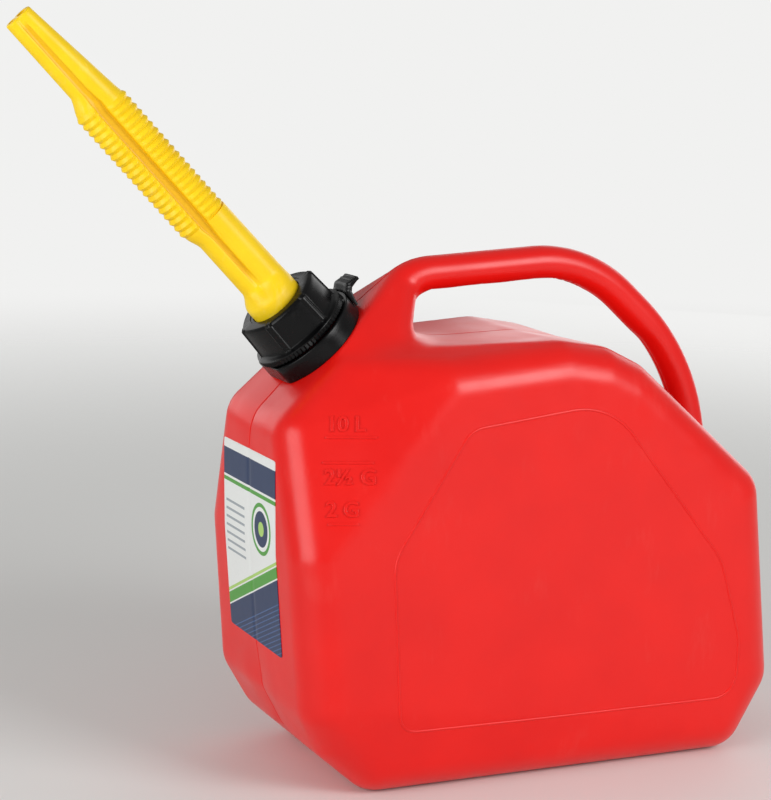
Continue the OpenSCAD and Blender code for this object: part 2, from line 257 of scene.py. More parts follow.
def settle(obj: Object) -> None:
    """Puts an object's place, turn and scale into its mesh."""
    lone(obj)
    bpy.ops.object.transform_apply(location=True, rotation=True, scale=True)


def smooth_by_angle(obj: Object, degrees: float) -> None:
    """Shades an object smooth, apart from edges sharper than an angle."""
    lone(obj)
    bpy.ops.object.shade_smooth_by_angle(angle=math.radians(degrees))


def smooth_all(obj: Object) -> None:
    """Shades an object smooth over all of its edges."""
    lone(obj)
    bpy.ops.object.shade_smooth()


def lofted(name: str, rings: Points, looped: bool = False, **layers: Points) -> Object:
    """Rolls a grid through closed rings of points.

    Args:
        name: Name of the new object.
        rings: Array of stations by points by 3, in metres.
        looped: Whether the last ring joins the first. Open ends are capped.
        layers: Arrays of stations by points that are painted on an open loft as attributes.

    Returns:
        Closed mesh object with its faces outwards.
    """
    if looped:
        rings = np.concatenate([rings, rings[:1]], axis=0)
    closed = np.concatenate([rings, rings[:, :1]], axis=1)
    stations, around = closed.shape[:2]
    obj = added(bpy.ops.mesh.primitive_grid_add, x_subdivisions=around - 1, y_subdivisions=stations - 1)
    obj.name = name
    set_points(obj, closed.reshape(-1, 3))
    for layer, values in layers.items():
        paint(obj, layer, np.concatenate([values, values[:, :1]], axis=1).ravel())
    settle(obj)
    with editing(obj):
        bpy.ops.mesh.remove_doubles(threshold=WELD)
        if not looped:
            bpy.ops.mesh.fill_holes(sides=0)
        bpy.ops.mesh.select_all(action="SELECT")
        bpy.ops.mesh.normals_make_consistent(inside=False)
    return obj


def hull_of(name: str, pieces: Sequence[Object]) -> Object:
    """Wraps primitives in their convex hull.

    Args:
        name: Name of the new object.
        pieces: Primitives, which are joined.

    Returns:
        One convex mesh.
    """
    obj = joined(name, pieces)
    settle(obj)
    with editing(obj):
        bpy.ops.mesh.convex_hull()
    return obj


def ball(place: Sequence[float], radius: float) -> Object:
    """Adds a fine sphere, with its place and radius in millimetres."""
    return added(bpy.ops.mesh.primitive_uv_sphere_add, segments=64, ring_count=32,
                 radius=radius * MM, location=Vector(place) * MM)


@dataclass(frozen=True)
class NeckFrame:
    """Axes of the neck: local x runs across towards the handle, z along the neck from its seat."""

    seat: Points
    across: Points
    along: Points

    @classmethod
    def from_frame(cls) -> "NeckFrame":
        """Reads the neck's axis from the collar's joint and its seat from the lock ring's underside.

        Returns:
            The neck's axes in the part's frame.
        """
        joint = next(row for row in frame["joints"] if row["name"] == "collar_turn")
        along = np.array(joint["axis"])
        pos = np.array(joint["pos_m"])
        depth = ((points_of(frame["nodes"]["lock_ring"]) - pos) @ along).min()
        return cls(pos + depth * along, np.array([along[2], 0.0, -along[0]]), along)

    def place(self, local: Points) -> Points:
        """Turns local millimetres to places in metres.

        Args:
            local: Array whose last axis is x, y, z along the neck's axes.

        Returns:
            Array of the same shape in the part's frame.
        """
        side = np.array([0.0, 1.0, 0.0])
        return self.seat + MM * (local[..., :1] * self.across + local[..., 1:2] * side
                                 + local[..., 2:] * self.along)

    def matrix(self) -> Matrix:
        """Placing matrix of the neck's axes, in metres."""
        columns = np.stack([self.across, [0.0, 1.0, 0.0], self.along], axis=1)
        return Matrix.Translation(Vector(self.seat)) @ Matrix(columns.tolist()).to_4x4()


def turned(name: str, neck: NeckFrame, rings: Sequence[tuple[Any, float]], around: Points,
           sharp: float = 30) -> Object:
    """Closed piece round the neck from rings of radii.

    Args:
        name: Name of the new object.
        neck: Axes of the neck.
        rings: Radii and heights in mm, from the outer foot over the top and down the inside.
        around: Angles of the radii.
        sharp: Angle in degrees up to which the piece is shaded smooth.

    Returns:
        The new object.
    """
    local = np.array([np.stack([radius * np.cos(around), radius * np.sin(around),
                                np.broadcast_to(z, around.shape)], axis=-1) for radius, z in rings])
    obj = lofted(name, neck.place(local), looped=True)
    smooth_by_angle(obj, sharp)
    return obj


# Finishes

def add_node(tree: Tree, kind: str, sockets: dict[Any, Any] | None = None, **settings: Any) -> Node:
    """Adds one node, sets it and links it.

    Args:
        tree: Node tree that gets the node.
        kind: Node type, without the leading "ShaderNode".
        sockets: Values or output sockets by input name or number.
        settings: Node properties by name.

    Returns:
        The new node.
    """
    node = tree.nodes.new("ShaderNode" + kind)
    for key, value in settings.items():
        setattr(node, key, value)
    for key, value in (sockets or {}).items():
        if isinstance(value, Socket):
            tree.links.new(value, node.inputs[key])
        else:
            node.inputs[key].default_value = value
    return node


def new_material(name: str) -> tuple[Material, Tree]:
    """Makes a material with nothing in its node tree yet.

    Args:
        name: Name of the material.

    Returns:
        The material and its node tree.
    """
    made = bpy.data.materials.new(name)
    made.use_nodes = True
    made.node_tree.nodes.clear()
    return made, made.node_tree


@dataclass(frozen=True)
class Finish:
    """Moulded plastic: two near tints, a gloss that varies, fine grain, broad waviness and pale scuffs.

    Sizes and depths are in mm. The grain is drawn coarser than the real one, so that it shows in the render.
    """

    name: str
    tint: str
    shade: str
    scuff: str
    roughness: Pair
    ior: float
    grain_size: float
    grain_depth: float
    wave_size: float
    wave_depth: float
    scuff_size: float
    scuff_share: float
    tint_size: float = 45.0
    specular: float = 0.25
    noise_limits: Pair = (0.3, 0.7)
    gloss_scale: float = 0.7
    patch_scale: float = 6.0
    scuff_limits: Pair = (0.34, 0.46)
    scuff_stretch: Triple = (1.0, 0.6, 0.25)
    scuff_turn: Triple = (0.5, 0.3, 0.8)

    def material(self) -> Material:
        """Builds the finish as a node material on Object coordinates.

        Returns:
            The new material.
        """
        made, tree = new_material(self.name)
        space = add_node(tree, "TexCoord").outputs["Object"]
        surface = add_node(tree, "BsdfPrincipled", {
            "IOR": self.ior, "Specular IOR Level": self.specular, "Base Color": self.colour(tree, space),
            "Roughness": self.gloss(tree, space), "Normal": self.relief(tree, space)})
        add_node(tree, "OutputMaterial", {"Surface": surface.outputs[0]})
        return made

    def colour(self, tree: Tree, space: Socket) -> Socket:
        """Cloudy tint with pale scuffs.

        Args:
            tree: Node tree of the material.
            space: Socket of the Object coordinates.

        Returns:
            Socket of the colour.
        """
        low, high = self.noise_limits
        cloud = add_node(tree, "TexNoise", {"Vector": space, "Scale": per_mm(self.tint_size), "Detail": 3.0})
        ramp = add_node(tree, "MapRange", {"Value": cloud.outputs[0], "From Min": low, "From Max": high})
        base = add_node(tree, "Mix", {"Factor": ramp.outputs[0], MIX_A: srgb(self.shade),
                                      MIX_B: srgb(self.tint)}, data_type="RGBA")
        return self.scuffed(tree, space, base.outputs[MIX_OUT])

    def scuffed(self, tree: Tree, space: Socket, base: Socket) -> Socket:
        """Thin rubbed streaks over a base colour.

        Args:
            tree: Node tree of the material.
            space: Socket of the Object coordinates.
            base: Socket of the colour under the streaks.

        Returns:
            Socket of the colour with its streaks.
        """
        low, high = self.scuff_limits
        stretch = add_node(tree, "Mapping", {"Vector": space, "Scale": self.scuff_stretch,
                                             "Rotation": self.scuff_turn})
        streak = add_node(tree, "TexNoise", {"Vector": stretch.outputs[0], "Scale": per_mm(self.scuff_size),
                                             "Detail": 6.0, "Roughness": 0.7})
        patch = add_node(tree, "TexNoise", {"Vector": space, "Detail": 1.0,
                                            "Scale": per_mm(self.scuff_size * self.patch_scale)})
        both = add_node(tree, "Math", {0: streak.outputs[0], 1: patch.outputs[0]}, operation="MULTIPLY")
        amount = add_node(tree, "MapRange", {"Value": both.outputs[0], "From Min": low, "From Max": high,
                                             "To Max": self.scuff_share})
        return add_node(tree, "Mix", {"Factor": amount.outputs[0], MIX_A: base, MIX_B: srgb(self.scuff)},
                        data_type="RGBA").outputs[MIX_OUT]

    def gloss(self, tree: Tree, space: Socket) -> Socket:
        """Roughness that drifts between the two roughness values.

        Args:
            tree: Node tree of the material.
            space: Socket of the Object coordinates.

        Returns:
            Socket of the roughness.
        """
        low, high = self.noise_limits
        drift = add_node(tree, "TexNoise", {"Vector": space, "Detail": 5.0,
                                            "Scale": per_mm(self.wave_size * self.gloss_scale)})
        return add_node(tree, "MapRange", {"Value": drift.outputs[0], "From Min": low, "From Max": high,
                                           "To Min": self.roughness[0],
                                           "To Max": self.roughness[1]}).outputs[0]

    def relief(self, tree: Tree, space: Socket) -> Socket:
        """Broad waves of the wall under a fine moulded grain.

        Args:
            tree: Node tree of the material.
            space: Socket of the Object coordinates.

        Returns:
            Socket of the normal.
        """
        wave = add_node(tree, "TexNoise", {"Vector": space, "Scale": per_mm(self.wave_size), "Detail": 1.0})
        broad = add_node(tree, "Bump", {"Height": wave.outputs[0], "Distance": self.wave_depth * MM,
                                        "Strength": 1.0})
        grain = add_node(tree, "TexNoise", {"Vector": space, "Scale": per_mm(self.grain_size), "Detail": 2.0})
        return add_node(tree, "Bump", {"Height": grain.outputs[0], "Distance": self.grain_depth * MM,
                                       "Strength": 1.0, "Normal": broad.outputs[0]}).outputs[0]


@dataclass(frozen=True)
class SpoutFinish(Finish):
    """Moulded plastic with painted shade in its slot: a deeper yellow that follows the mesh's slot attribute.
    """

    # Deeper yellow painted into the slot as shade
    slot_shade_tint: str = "#eebb0e"

    def colour(self, tree: Tree, space: Socket) -> Socket:
        """Moulded tint, darkened in the slot by painted shade.

        Args:
            tree: Node tree of the material.
            space: Socket of the Object coordinates.

        Returns:
            Socket of the colour.
        """
        base = super().colour(tree, space)
        # Painted shade: the deeper yellow is mixed in by how deep each point lies in the slot
        depth = add_node(tree, "Attribute", attribute_name="slot")
        return add_node(tree, "Mix", {"Factor": depth.outputs["Fac"], MIX_A: base,
                                      MIX_B: srgb(self.slot_shade_tint)}, data_type="RGBA").outputs[MIX_OUT]


@dataclass(frozen=True)
class LabelFilm:
    """Printed film label, half glossy and a little slack, with plain motifs in navy, blue, green and grey.

    The motifs are drawn on Object coordinates in mm.
    """

    name: str = "printed_label_film"
    ground: str = "#e8eae8"
    ground_shade: str = "#e0e3e1"
    navy: str = "#1f3358"
    blue: str = "#3f5c8c"
    green: str = "#4f9b3a"
    pale_green: str = "#a9cf6c"
    grey: str = "#9aa2a8"
    roughness: float = 0.28
    specular: float = 0.3
    middle_z: float = 143.5
    cloud_size: float = 1.5
    slack_size: float = 22.0
    slack_depth: float = 0.15

    def material(self) -> Material:
        """Builds the film: motifs laid over each other on a ground that is faintly cloudy.

        Returns:
            The new material.
        """
        made, tree = new_material(self.name)
        place = add_node(tree, "TexCoord").outputs["Object"]
        size = add_node(tree, "VectorMath", {0: place, 1: (0, -per_mm(1), per_mm(1))}, operation="MULTIPLY")
        sheet = add_node(tree, "VectorMath", {0: size.outputs[0], 1: (0, 0, self.middle_z)},
                         operation="SUBTRACT")
        cloud = add_node(tree, "TexNoise", {"Vector": place, "Scale": per_mm(self.cloud_size), "Detail": 4.0})
        colour = add_node(tree, "Mix", {"Factor": cloud.outputs[0], MIX_A: srgb(self.ground_shade),
                                        MIX_B: srgb(self.ground)}, data_type="RGBA").outputs[MIX_OUT]
        for mask, tint in self.motifs(tree, sheet.outputs[0]):
            colour = add_node(tree, "Mix", {"Factor": mask, MIX_A: colour, MIX_B: srgb(tint)},
                              data_type="RGBA").outputs[MIX_OUT]
        slack = add_node(tree, "TexNoise", {"Vector": place, "Scale": per_mm(self.slack_size), "Detail": 2.0})
        bump = add_node(tree, "Bump", {"Height": slack.outputs[0], "Distance": self.slack_depth * MM})
        surface = add_node(tree, "BsdfPrincipled", {"Base Color": colour, "Roughness": self.roughness,
                                                    "Normal": bump.outputs[0],
                                                    "Specular IOR Level": self.specular})
        add_node(tree, "OutputMaterial", {"Surface": surface.outputs[0]})
        return made

    def motifs(self, tree: Tree, sheet: Socket) -> list[tuple[Socket, str]]:
        """Masks and tints of the printed motifs, from the lowest up, with their limits in mm.

        Args:
            tree: Node tree of the material.
            sheet: Socket of the place on the label in mm: y to the right and z up from its middle.

        Returns:
            Mask sockets with the colours that they print.
        """
        axes = add_node(tree, "SeparateXYZ", {0: sheet}).outputs
        right, up = axes["Y"], axes["Z"]
        slant = add_node(tree, "Math", {0: right, 1: -0.42, 2: up}, operation="MULTIPLY_ADD").outputs[0]
        hatch = add_node(tree, "Math", {0: slant, 1: 1.5}, operation="PINGPONG").outputs[0]
        rows = add_node(tree, "Math", {0: up, 1: 2.6}, operation="PINGPONG").outputs[0]
        drop = add_node(tree, "VectorMath", {0: sheet, 1: (0, 20, 14)}, operation="DISTANCE").outputs["Value"]
        block = self.both(tree, self.strip(tree, right, -40, -8), self.strip(tree, up, -14, 22))
        bars = self.both(tree, self.strip(tree, rows, 0, 0.8), block)
        lines = self.both(tree, self.strip(tree, hatch, 0, 0.35), self.strip(tree, slant, -90, -44))
        return [
            (bars, self.grey),
            (self.strip(tree, up, 37, 54), self.navy),
            (self.strip(tree, up, 33, 35.5), self.green),
            (self.strip(tree, slant, -90, -30), self.navy),
            (lines, self.blue),
            (self.strip(tree, slant, -29, -22), self.green),
            (self.strip(tree, slant, -21, -19), self.pale_green),
            (self.strip(tree, drop, -1, 16), self.green),
            (self.strip(tree, drop, -1, 13.5), self.ground),
            (self.strip(tree, drop, -1, 11), self.navy),
            (self.strip(tree, drop, -1, 4.5), self.pale_green),
        ]

    def strip(self, tree: Tree, value: Socket, low: float, high: float) -> Socket:
        """Mask that is 1 where a value lies between two limits."""
        return add_node(tree, "Math", {0: value, 1: (low + high) / 2, 2: (high - low) / 2},
                        operation="COMPARE").outputs[0]

    def both(self, tree: Tree, one: Socket, two: Socket) -> Socket:
        """Mask that is 1 where two masks are."""
        return add_node(tree, "Math", {0: one, 1: two}, operation="MULTIPLY").outputs[0]


# High density polyethylene, blow moulded: satin skin, faint flow clouds and slack walls
RED_HDPE = Finish("red_blow_moulded_hdpe", "#e8140c", "#e1100a", "#f0766c", (0.28, 0.36), 1.5,
                  grain_size=0.9, grain_depth=0.012, wave_size=38.0, wave_depth=0.18,
                  scuff_size=5.0, scuff_share=0.05, specular=0.42)
# Polypropylene, injection moulded in a sparked tool: dark, half gloss, grey at rubbed places
BLACK_PP = Finish("black_moulded_polypropylene", "#060607", "#050506", "#2a2a2c", (0.22, 0.34), 1.49,
                  grain_size=0.7, grain_depth=0.018, wave_size=14.0, wave_depth=0.05,
                  scuff_size=2.2, scuff_share=0.25, tint_size=12.0, specular=0.22)
# Low density polyethylene, blow moulded: waxy and bright, with painted shade as a deeper yellow in the slot
YELLOW_PE = SpoutFinish("yellow_blow_moulded_ldpe", "#fcd61e", "#f7cd16", "#fff0a0", (0.3, 0.4), 1.51,
                        grain_size=0.8, grain_depth=0.01, wave_size=16.0, wave_depth=0.06,
                        scuff_size=3.0, scuff_share=0.14, tint_size=20.0)
# Nitrile rubber, die cut: matt, slightly dusty
NITRILE = Finish("black_nitrile_rubber", "#2b2b2d", "#222224", "#5a5a5a", (0.6, 0.75), 1.52,
                 grain_size=0.5, grain_depth=0.02, wave_size=8.0, wave_depth=0.05,
                 scuff_size=1.6, scuff_share=0.3, tint_size=8.0)


# The red moulding

@dataclass
class TankShell:
    """Tank and carrying handle: one blow moulding with a parting seam along its middle. Sizes in mm.

    A pair holds the limits between which a form comes or goes: parts of the normal where it is named for a
    face, and places for the rest.
    """

    neck: NeckFrame
    length: float = 334.0
    width: float = 163.0
    height: float = 270.0
    edge_r: float = 23.4
    draft: float = 4.0
    rear_draft_share: float = 0.45
    front_lean: float = 3.2
    rear_lean: float = 5.8
    base_cut_z: float = 51.0
    base_cut_front: float = 29.0
    front_cut_z: float = 60.4
    front_mid_z: float = 41.4
    front_mid_back: float = 8.8
    front_tuck: float = 5.8
    base_cut_rear: float = 17.0
    crease_z: float = 148.0
    crease_lead: float = 2.7
    base_lead: float = 1.1
    crease_set: float = 103.0
    crease_drop: float = 6.0
    bend_drop: float = 55.4
    bend_half: float = 36.0
    shoulder_half: float = 32.0
    shoulder_drop: float = 4.0
    neck_elev: float = 47.0
    apex_x: float = 9.0
    crown_set: float = 131.0
    crown_drop: float = 4.6
    crown_rear_set: float = 113.0
    crown_rear_drop: float = 13.5
    slope_set: float = 94.0
    slope_drop: float = 30.0
    slope_low_z: float = 165.0
    handle_r: float = 10.8
    handle_set: float = 107.0
    handle_lift: float = 35.5
    handle_top_l: float = 83.3
    handle_rise: float = 3.5
    handle_front_r: float = 36.0
    handle_front: float = 33.0
    handle_bend_r: float = 88.0
    handle_bend: float = 45.5
    handle_leg_l: float = 17.0
    handle_foot_r: float = 134.0
    handle_foot: float = 44.0
    handle_foot_l: float = 16.0
    leg_corner_r: float = 13.0
    leg_back: float = 30.0
    leg_corner_half: float = 17.0
    leg_corner_rise: float = 12.0
    fan_back: float = 36.0
    fan_half: float = 40.0
    fan_rise: float = 3.0
    gap_r: float = 18.0
    gap_front: float = 102.5
    gap_drops: Triple = (8.0, 16.0, 24.0)
    boss_r: float = 36.0
    boss_depth: float = 14.0
    voxel: float = 2.3
    fillet_rounds: int = 90
    fillet_renew: int = 6
    fillet_pull: float = 0.5
    seam_half: float = 0.7
    seam_depth: float = 0.6
    valley_half: float = 24.0
    valley_depth: float = 1.8
    valley_power: float = 1.5
    valley_face: Pair = (0.2, 0.5)
    valley_foot: Pair = (58.0, 84.0)
    valley_rise: Pair = (200.0, 226.0)
    valley_end: Pair = (255.0, 268.0)
    top_half: float = 52.0
    top_depth: float = 1.2
    top_face: Pair = (0.7, 0.9)
    top_from: Pair = (-62.0, -30.0)
    top_under: Pair = (274.0, 271.0)
    base_rim: float = 34.0
    base_recess: float = 2.0
    base_face: Pair = (0.9, 0.98)
    base_edge: Pair = (0.0, 8.0)

    @property
    def front_x(self) -> float:
        """Front end of the tank."""
        return -self.length / 2

    @property
    def top_z(self) -> float:
        """Height of the centres of the top edges' rounds."""
        return self.height - self.edge_r

    @property
    def bend_z(self) -> float:
        """Height of the bend from the front face to the shoulder."""
        return self.height - self.bend_drop

    def front_at(self, z: float) -> float:
        """Place of the front edge's centre at a height."""
        return self.front_x + self.edge_r + (self.bend_z - z) * math.tan(math.radians(self.front_lean))

    def rear_at(self, z: float) -> float:
        """Place of the rear edge's centre at a height."""
        rise = (z - self.base_cut_z) * math.tan(math.radians(self.rear_lean))
        return self.length / 2 - self.edge_r - rise - self.rear_draft_share * self.spread(z)

    def spread(self, z: float) -> float:
        """How far the drafted side walls stand out at a height, against the top."""
        return self.draft * (self.top_z - z) / (self.top_z - self.edge_r)

    def half_at(self, z: float) -> float:
        """Distance of a side edge's centre from the middle plane at a height."""
        return self.width / 2 - self.edge_r + self.spread(z)

    def corners(self) -> list[Triple]:
        """Centres of the rounded corners on one side, from the front foot over the top to the rear foot.

        Returns:
            Places x, y, z.
        """
        half = self.width / 2 - self.edge_r
        turn = math.radians(self.neck_elev)
        run = (self.top_z - self.shoulder_drop - self.bend_z) / math.cos(turn)
        bend_x, foot_x = self.front_at(self.bend_z), self.front_at(self.front_cut_z)
        crease_x, cut_x = self.front_at(self.crease_z), self.rear_at(self.base_cut_z)
        rear_x, mid_z = self.length / 2, self.front_mid_z
        return [
            (foot_x + self.base_cut_front, self.half_at(self.edge_r) - self.front_tuck, self.edge_r),
            (foot_x + self.front_mid_back, self.half_at(mid_z) - self.front_tuck, mid_z),
            (foot_x - self.base_lead, self.half_at(self.front_cut_z), self.front_cut_z),
            (crease_x - self.crease_lead, self.half_at(self.crease_z), self.crease_z),
            (bend_x, self.bend_half, self.bend_z),
            (bend_x + run * math.sin(turn), self.shoulder_half, self.bend_z + run * math.cos(turn)),
            (self.front_x + self.crease_set, half, self.top_z - self.crease_drop),
            (self.apex_x, half, self.top_z),
            (rear_x - self.crown_set, half, self.top_z - self.crown_drop),
            (rear_x - self.crown_rear_set, half, self.top_z - self.crown_rear_drop),
            (rear_x - self.slope_set, half, self.top_z - self.slope_drop),
            (self.rear_at(self.slope_low_z), self.half_at(self.slope_low_z), self.slope_low_z),
            (cut_x, self.half_at(self.base_cut_z), self.base_cut_z),
            (cut_x - self.base_cut_rear, self.half_at(self.edge_r), self.edge_r),
        ]

    def tank(self) -> Object:
        """Hull of the tank's rounded corners."""
        balls = [ball((x, side * y, z), self.edge_r) for x, y, z in self.corners() for side in (-1, 1)]
        return hull_of("tank", balls)

    def leg(self) -> Object:
        """Broad front leg of the handle, which carries the rear of the neck.

        Returns:
            Hull of the neck's boss, the handle's front end and the leg's corners.
        """
        x, z, _ = self.handle_path()[0]
        boss = added(bpy.ops.mesh.primitive_cylinder_add, vertices=96, radius=self.boss_r * MM,
                     depth=self.boss_depth * MM)
        boss.matrix_world = self.neck.matrix() @ Matrix.Translation((0, 0, -self.boss_depth / 2 * MM))
        settle(boss)
        front = self.front_x + self.handle_set
        spots = [(front - self.leg_back, self.leg_corner_half, self.leg_corner_rise),
                 (front - self.fan_back, self.fan_half, self.fan_rise)]
        corners = [ball((at, side * half, self.top_z + rise), self.leg_corner_r)
                   for at, half, rise in spots for side in (-1, 1)]
        return hull_of("leg", [boss, ball((x, 0, z), self.handle_r), *corners])

    def handle_path(self) -> list[Triple]:
        """Centre line of the handle, from its front bend to its foot on the rear slope.

        Returns:
            Points x, z and headings in radians.
        """
        heading = math.radians(self.handle_rise + self.handle_front)
        set_in = self.handle_front_r * math.tan(math.radians(self.handle_front / 2))
        x = self.front_x + self.handle_set - set_in * math.cos(heading)
        z = self.height + self.handle_lift - set_in * math.sin(heading)
        path = [(x, z, heading)]
        # Radius or length of each run, its turn in degrees and its number of steps
        runs = [(self.handle_front_r, self.handle_front, 12),
                (self.handle_top_l - set_in, 0.0, 24),
                (self.handle_bend_r, self.handle_bend, 24),
                (self.handle_leg_l, 0.0, 8),
                (self.handle_foot_r, self.handle_foot, 20),
                (self.handle_foot_l, 0.0, 8)]
        for size, turn, steps in runs:
            swing = math.radians(turn) / steps
            step = 2 * size * math.sin(swing / 2) if turn else size / steps
            for _ in range(steps):
                middle = heading - swing / 2
                x, z = x + step * math.cos(middle), z + step * math.sin(middle)
                heading -= swing
                path.append((x, z, heading))
        return path

    def front_path(self) -> list[Triple]:
        """Arc that rounds the front end of the finger gap, and its way down into the leg.

        Returns:
            Points x, z and headings in radians.
        """
        reach = self.gap_r + self.handle_r
        x = self.front_x + self.gap_front + self.gap_r
        rise = math.tan(math.radians(self.handle_rise)) * (x - self.front_x - self.handle_set)
        z = self.height + self.handle_lift + rise - reach
        arc = [(x - reach * math.sin(turn), z + reach * math.cos(turn), math.pi + turn)
               for turn in np.linspace(0, math.pi / 2, 20)]
        return arc + [(x - reach, z - drop, 1.5 * math.pi) for drop in self.gap_drops]

    def tube(self, name: str, path: Sequence[Triple]) -> Object:
        """Round bar of the handle swept along a path.

        Args:
            name: Name of the new object.
            path: Points x, z and headings in radians.

        Returns:
            The bar with closed ends.
        """
        around = circle(48)
        rings = [np.stack([x - self.handle_r * np.cos(around) * math.sin(turn),
                           -self.handle_r * np.sin(around),
                           z + self.handle_r * np.cos(around) * math.cos(turn)], axis=-1)
                 for x, z, turn in path]
        return lofted(name, np.array(rings) * MM)

    def build(self) -> Object:
        """Fuses tank, leg and handle into one skin and shapes its seam and base.

        Returns:
            The finished red moulding.
        """
        bars = [self.tube("handle", self.handle_path()), self.tube("gap_front", self.front_path())]
        obj = joined("can_shell", [self.tank(), self.leg(), *bars])
        obj.data.remesh_voxel_size = self.voxel * MM
        obj.data.use_remesh_preserve_volume = True
        lone(obj)
        bpy.ops.object.voxel_remesh()
        finish_modifier(obj, "SMOOTH", factor=0.5, iterations=2)
        self.fill_creases(obj)
        self.cut_seam(obj)
        self.shape_walls(obj)
        smooth_all(obj)
        return obj

    def fill_creases(self, obj: Object) -> None:
        """Rounds the hollow corners between handle, leg and tank, and leaves what bulges as it is.

        Args:
            obj: Skin of the can.
        """
        edges = np.empty(len(obj.data.edges) * 2, np.int32)
        obj.data.edges.foreach_get("vertices", edges)
        edges = edges.reshape(-1, 2)
        ends = np.concatenate([edges[:, 0], edges[:, 1]])
        others = np.concatenate([edges[:, 1], edges[:, 0]])
        places = points_of(obj)
        count = np.bincount(ends, minlength=len(places))
        for turn in range(self.fillet_rounds):
            if turn % self.fillet_renew == 0:
                set_points(obj, places)
                normals = normals_of(obj)
            sums = [np.bincount(ends, places[others, axis], len(places)) for axis in range(3)]
            rise = ((np.stack(sums, axis=-1) / count[:, None] - places) * normals).sum(axis=1)
            places += normals * (self.fillet_pull * np.maximum(rise, 0.0))[:, None]
        set_points(obj, places)

    def cut_seam(self, obj: Object) -> None:
        """Cuts the skin along its middle and beside it, for a thin parting groove.

        Args:
            obj: Skin of the can.
        """
        for offset in (-self.seam_half, 0.0, self.seam_half):
            with editing(obj):
                bpy.ops.mesh.bisect(plane_co=(0, offset * MM, 0), plane_no=(0, 1, 0), threshold=SNAP)

    def shape_walls(self, obj: Object) -> None:
        """Sinks the seam, the shallow valleys beside it and the panel under the base.

        Args:
            obj: Skin of the can, cut along its seam.
        """
        places, normals = points_of(obj), normals_of(obj)
        x, y, z = (places / MM).T
        off_middle = np.abs(y)
        seam = np.clip(1 - off_middle / self.seam_half, 0, 1) * self.seam_depth
        front = smooth(-normals[:, 0], *self.valley_face)
        above = smooth(z, *self.valley_rise) * (1 - smooth(z, *self.valley_end))
        off_label = above + 1 - smooth(z, *self.valley_foot)
        beside = np.clip(1 - off_middle / self.valley_half, 0, 1) ** self.valley_power
        top = smooth(normals[:, 2], *self.top_face) * smooth(x, *self.top_from) * smooth(z, *self.top_under)
        slack = np.clip(1 - off_middle / self.top_half, 0, 1)
        valley = np.maximum(front * off_label * beside * self.valley_depth, top * slack * self.top_depth)
        low, high = self.corners()[0][0], self.corners()[-1][0]
        inside = np.minimum(np.minimum(x - low, high - x), self.width / 2 - self.base_rim - off_middle)
        base = smooth(-normals[:, 2], *self.base_face) * smooth(inside, *self.base_edge) * self.base_recess
        set_points(obj, places - normals * ((seam + valley + base) * MM)[:, None])


@dataclass
class CanNeck:
    """Threaded neck that stands on the shoulder. Sizes in mm."""

    neck: NeckFrame
    radius: float = 20.8
    bore_r: float = 18.4
    length: float = 27.5
    sink: float = 3.0
    lip: float = 0.6
    bore_edge: float = 0.5
    pitch: float = 6.0
    depth: float = 1.6
    crest_power: float = 1.5
    thread_from: float = 16.0
    thread_to: float = 26.0
    thread_fade: float = 2.0

    def build(self) -> Object:
        """Turns the neck's wall with its round thread.

        Returns:
            The neck in one closed piece.
        """
        around = circle(96)
        wall = [(z, 0.0) for z in np.linspace(-self.sink, self.length - self.lip, 110)]
        rings = []
        for z, inset in [*wall, (self.length, self.lip)]:
            begun = smooth(z, self.thread_from, self.thread_from + self.thread_fade)
            ended = smooth(z, self.thread_to - self.thread_fade, self.thread_to)
            crest = 0.5 + 0.5 * np.cos(around - 2 * math.pi * z / self.pitch)
            thread = self.depth * (begun * (1 - ended)) * crest ** self.crest_power
            rings.append((self.radius - inset + thread, z))
        rings += [(self.bore_r + self.bore_edge, self.length), (self.bore_r, self.length - self.bore_edge),
                  (self.bore_r, -self.sink)]
        return turned("neck_thread", self.neck, rings, around, sharp=40)


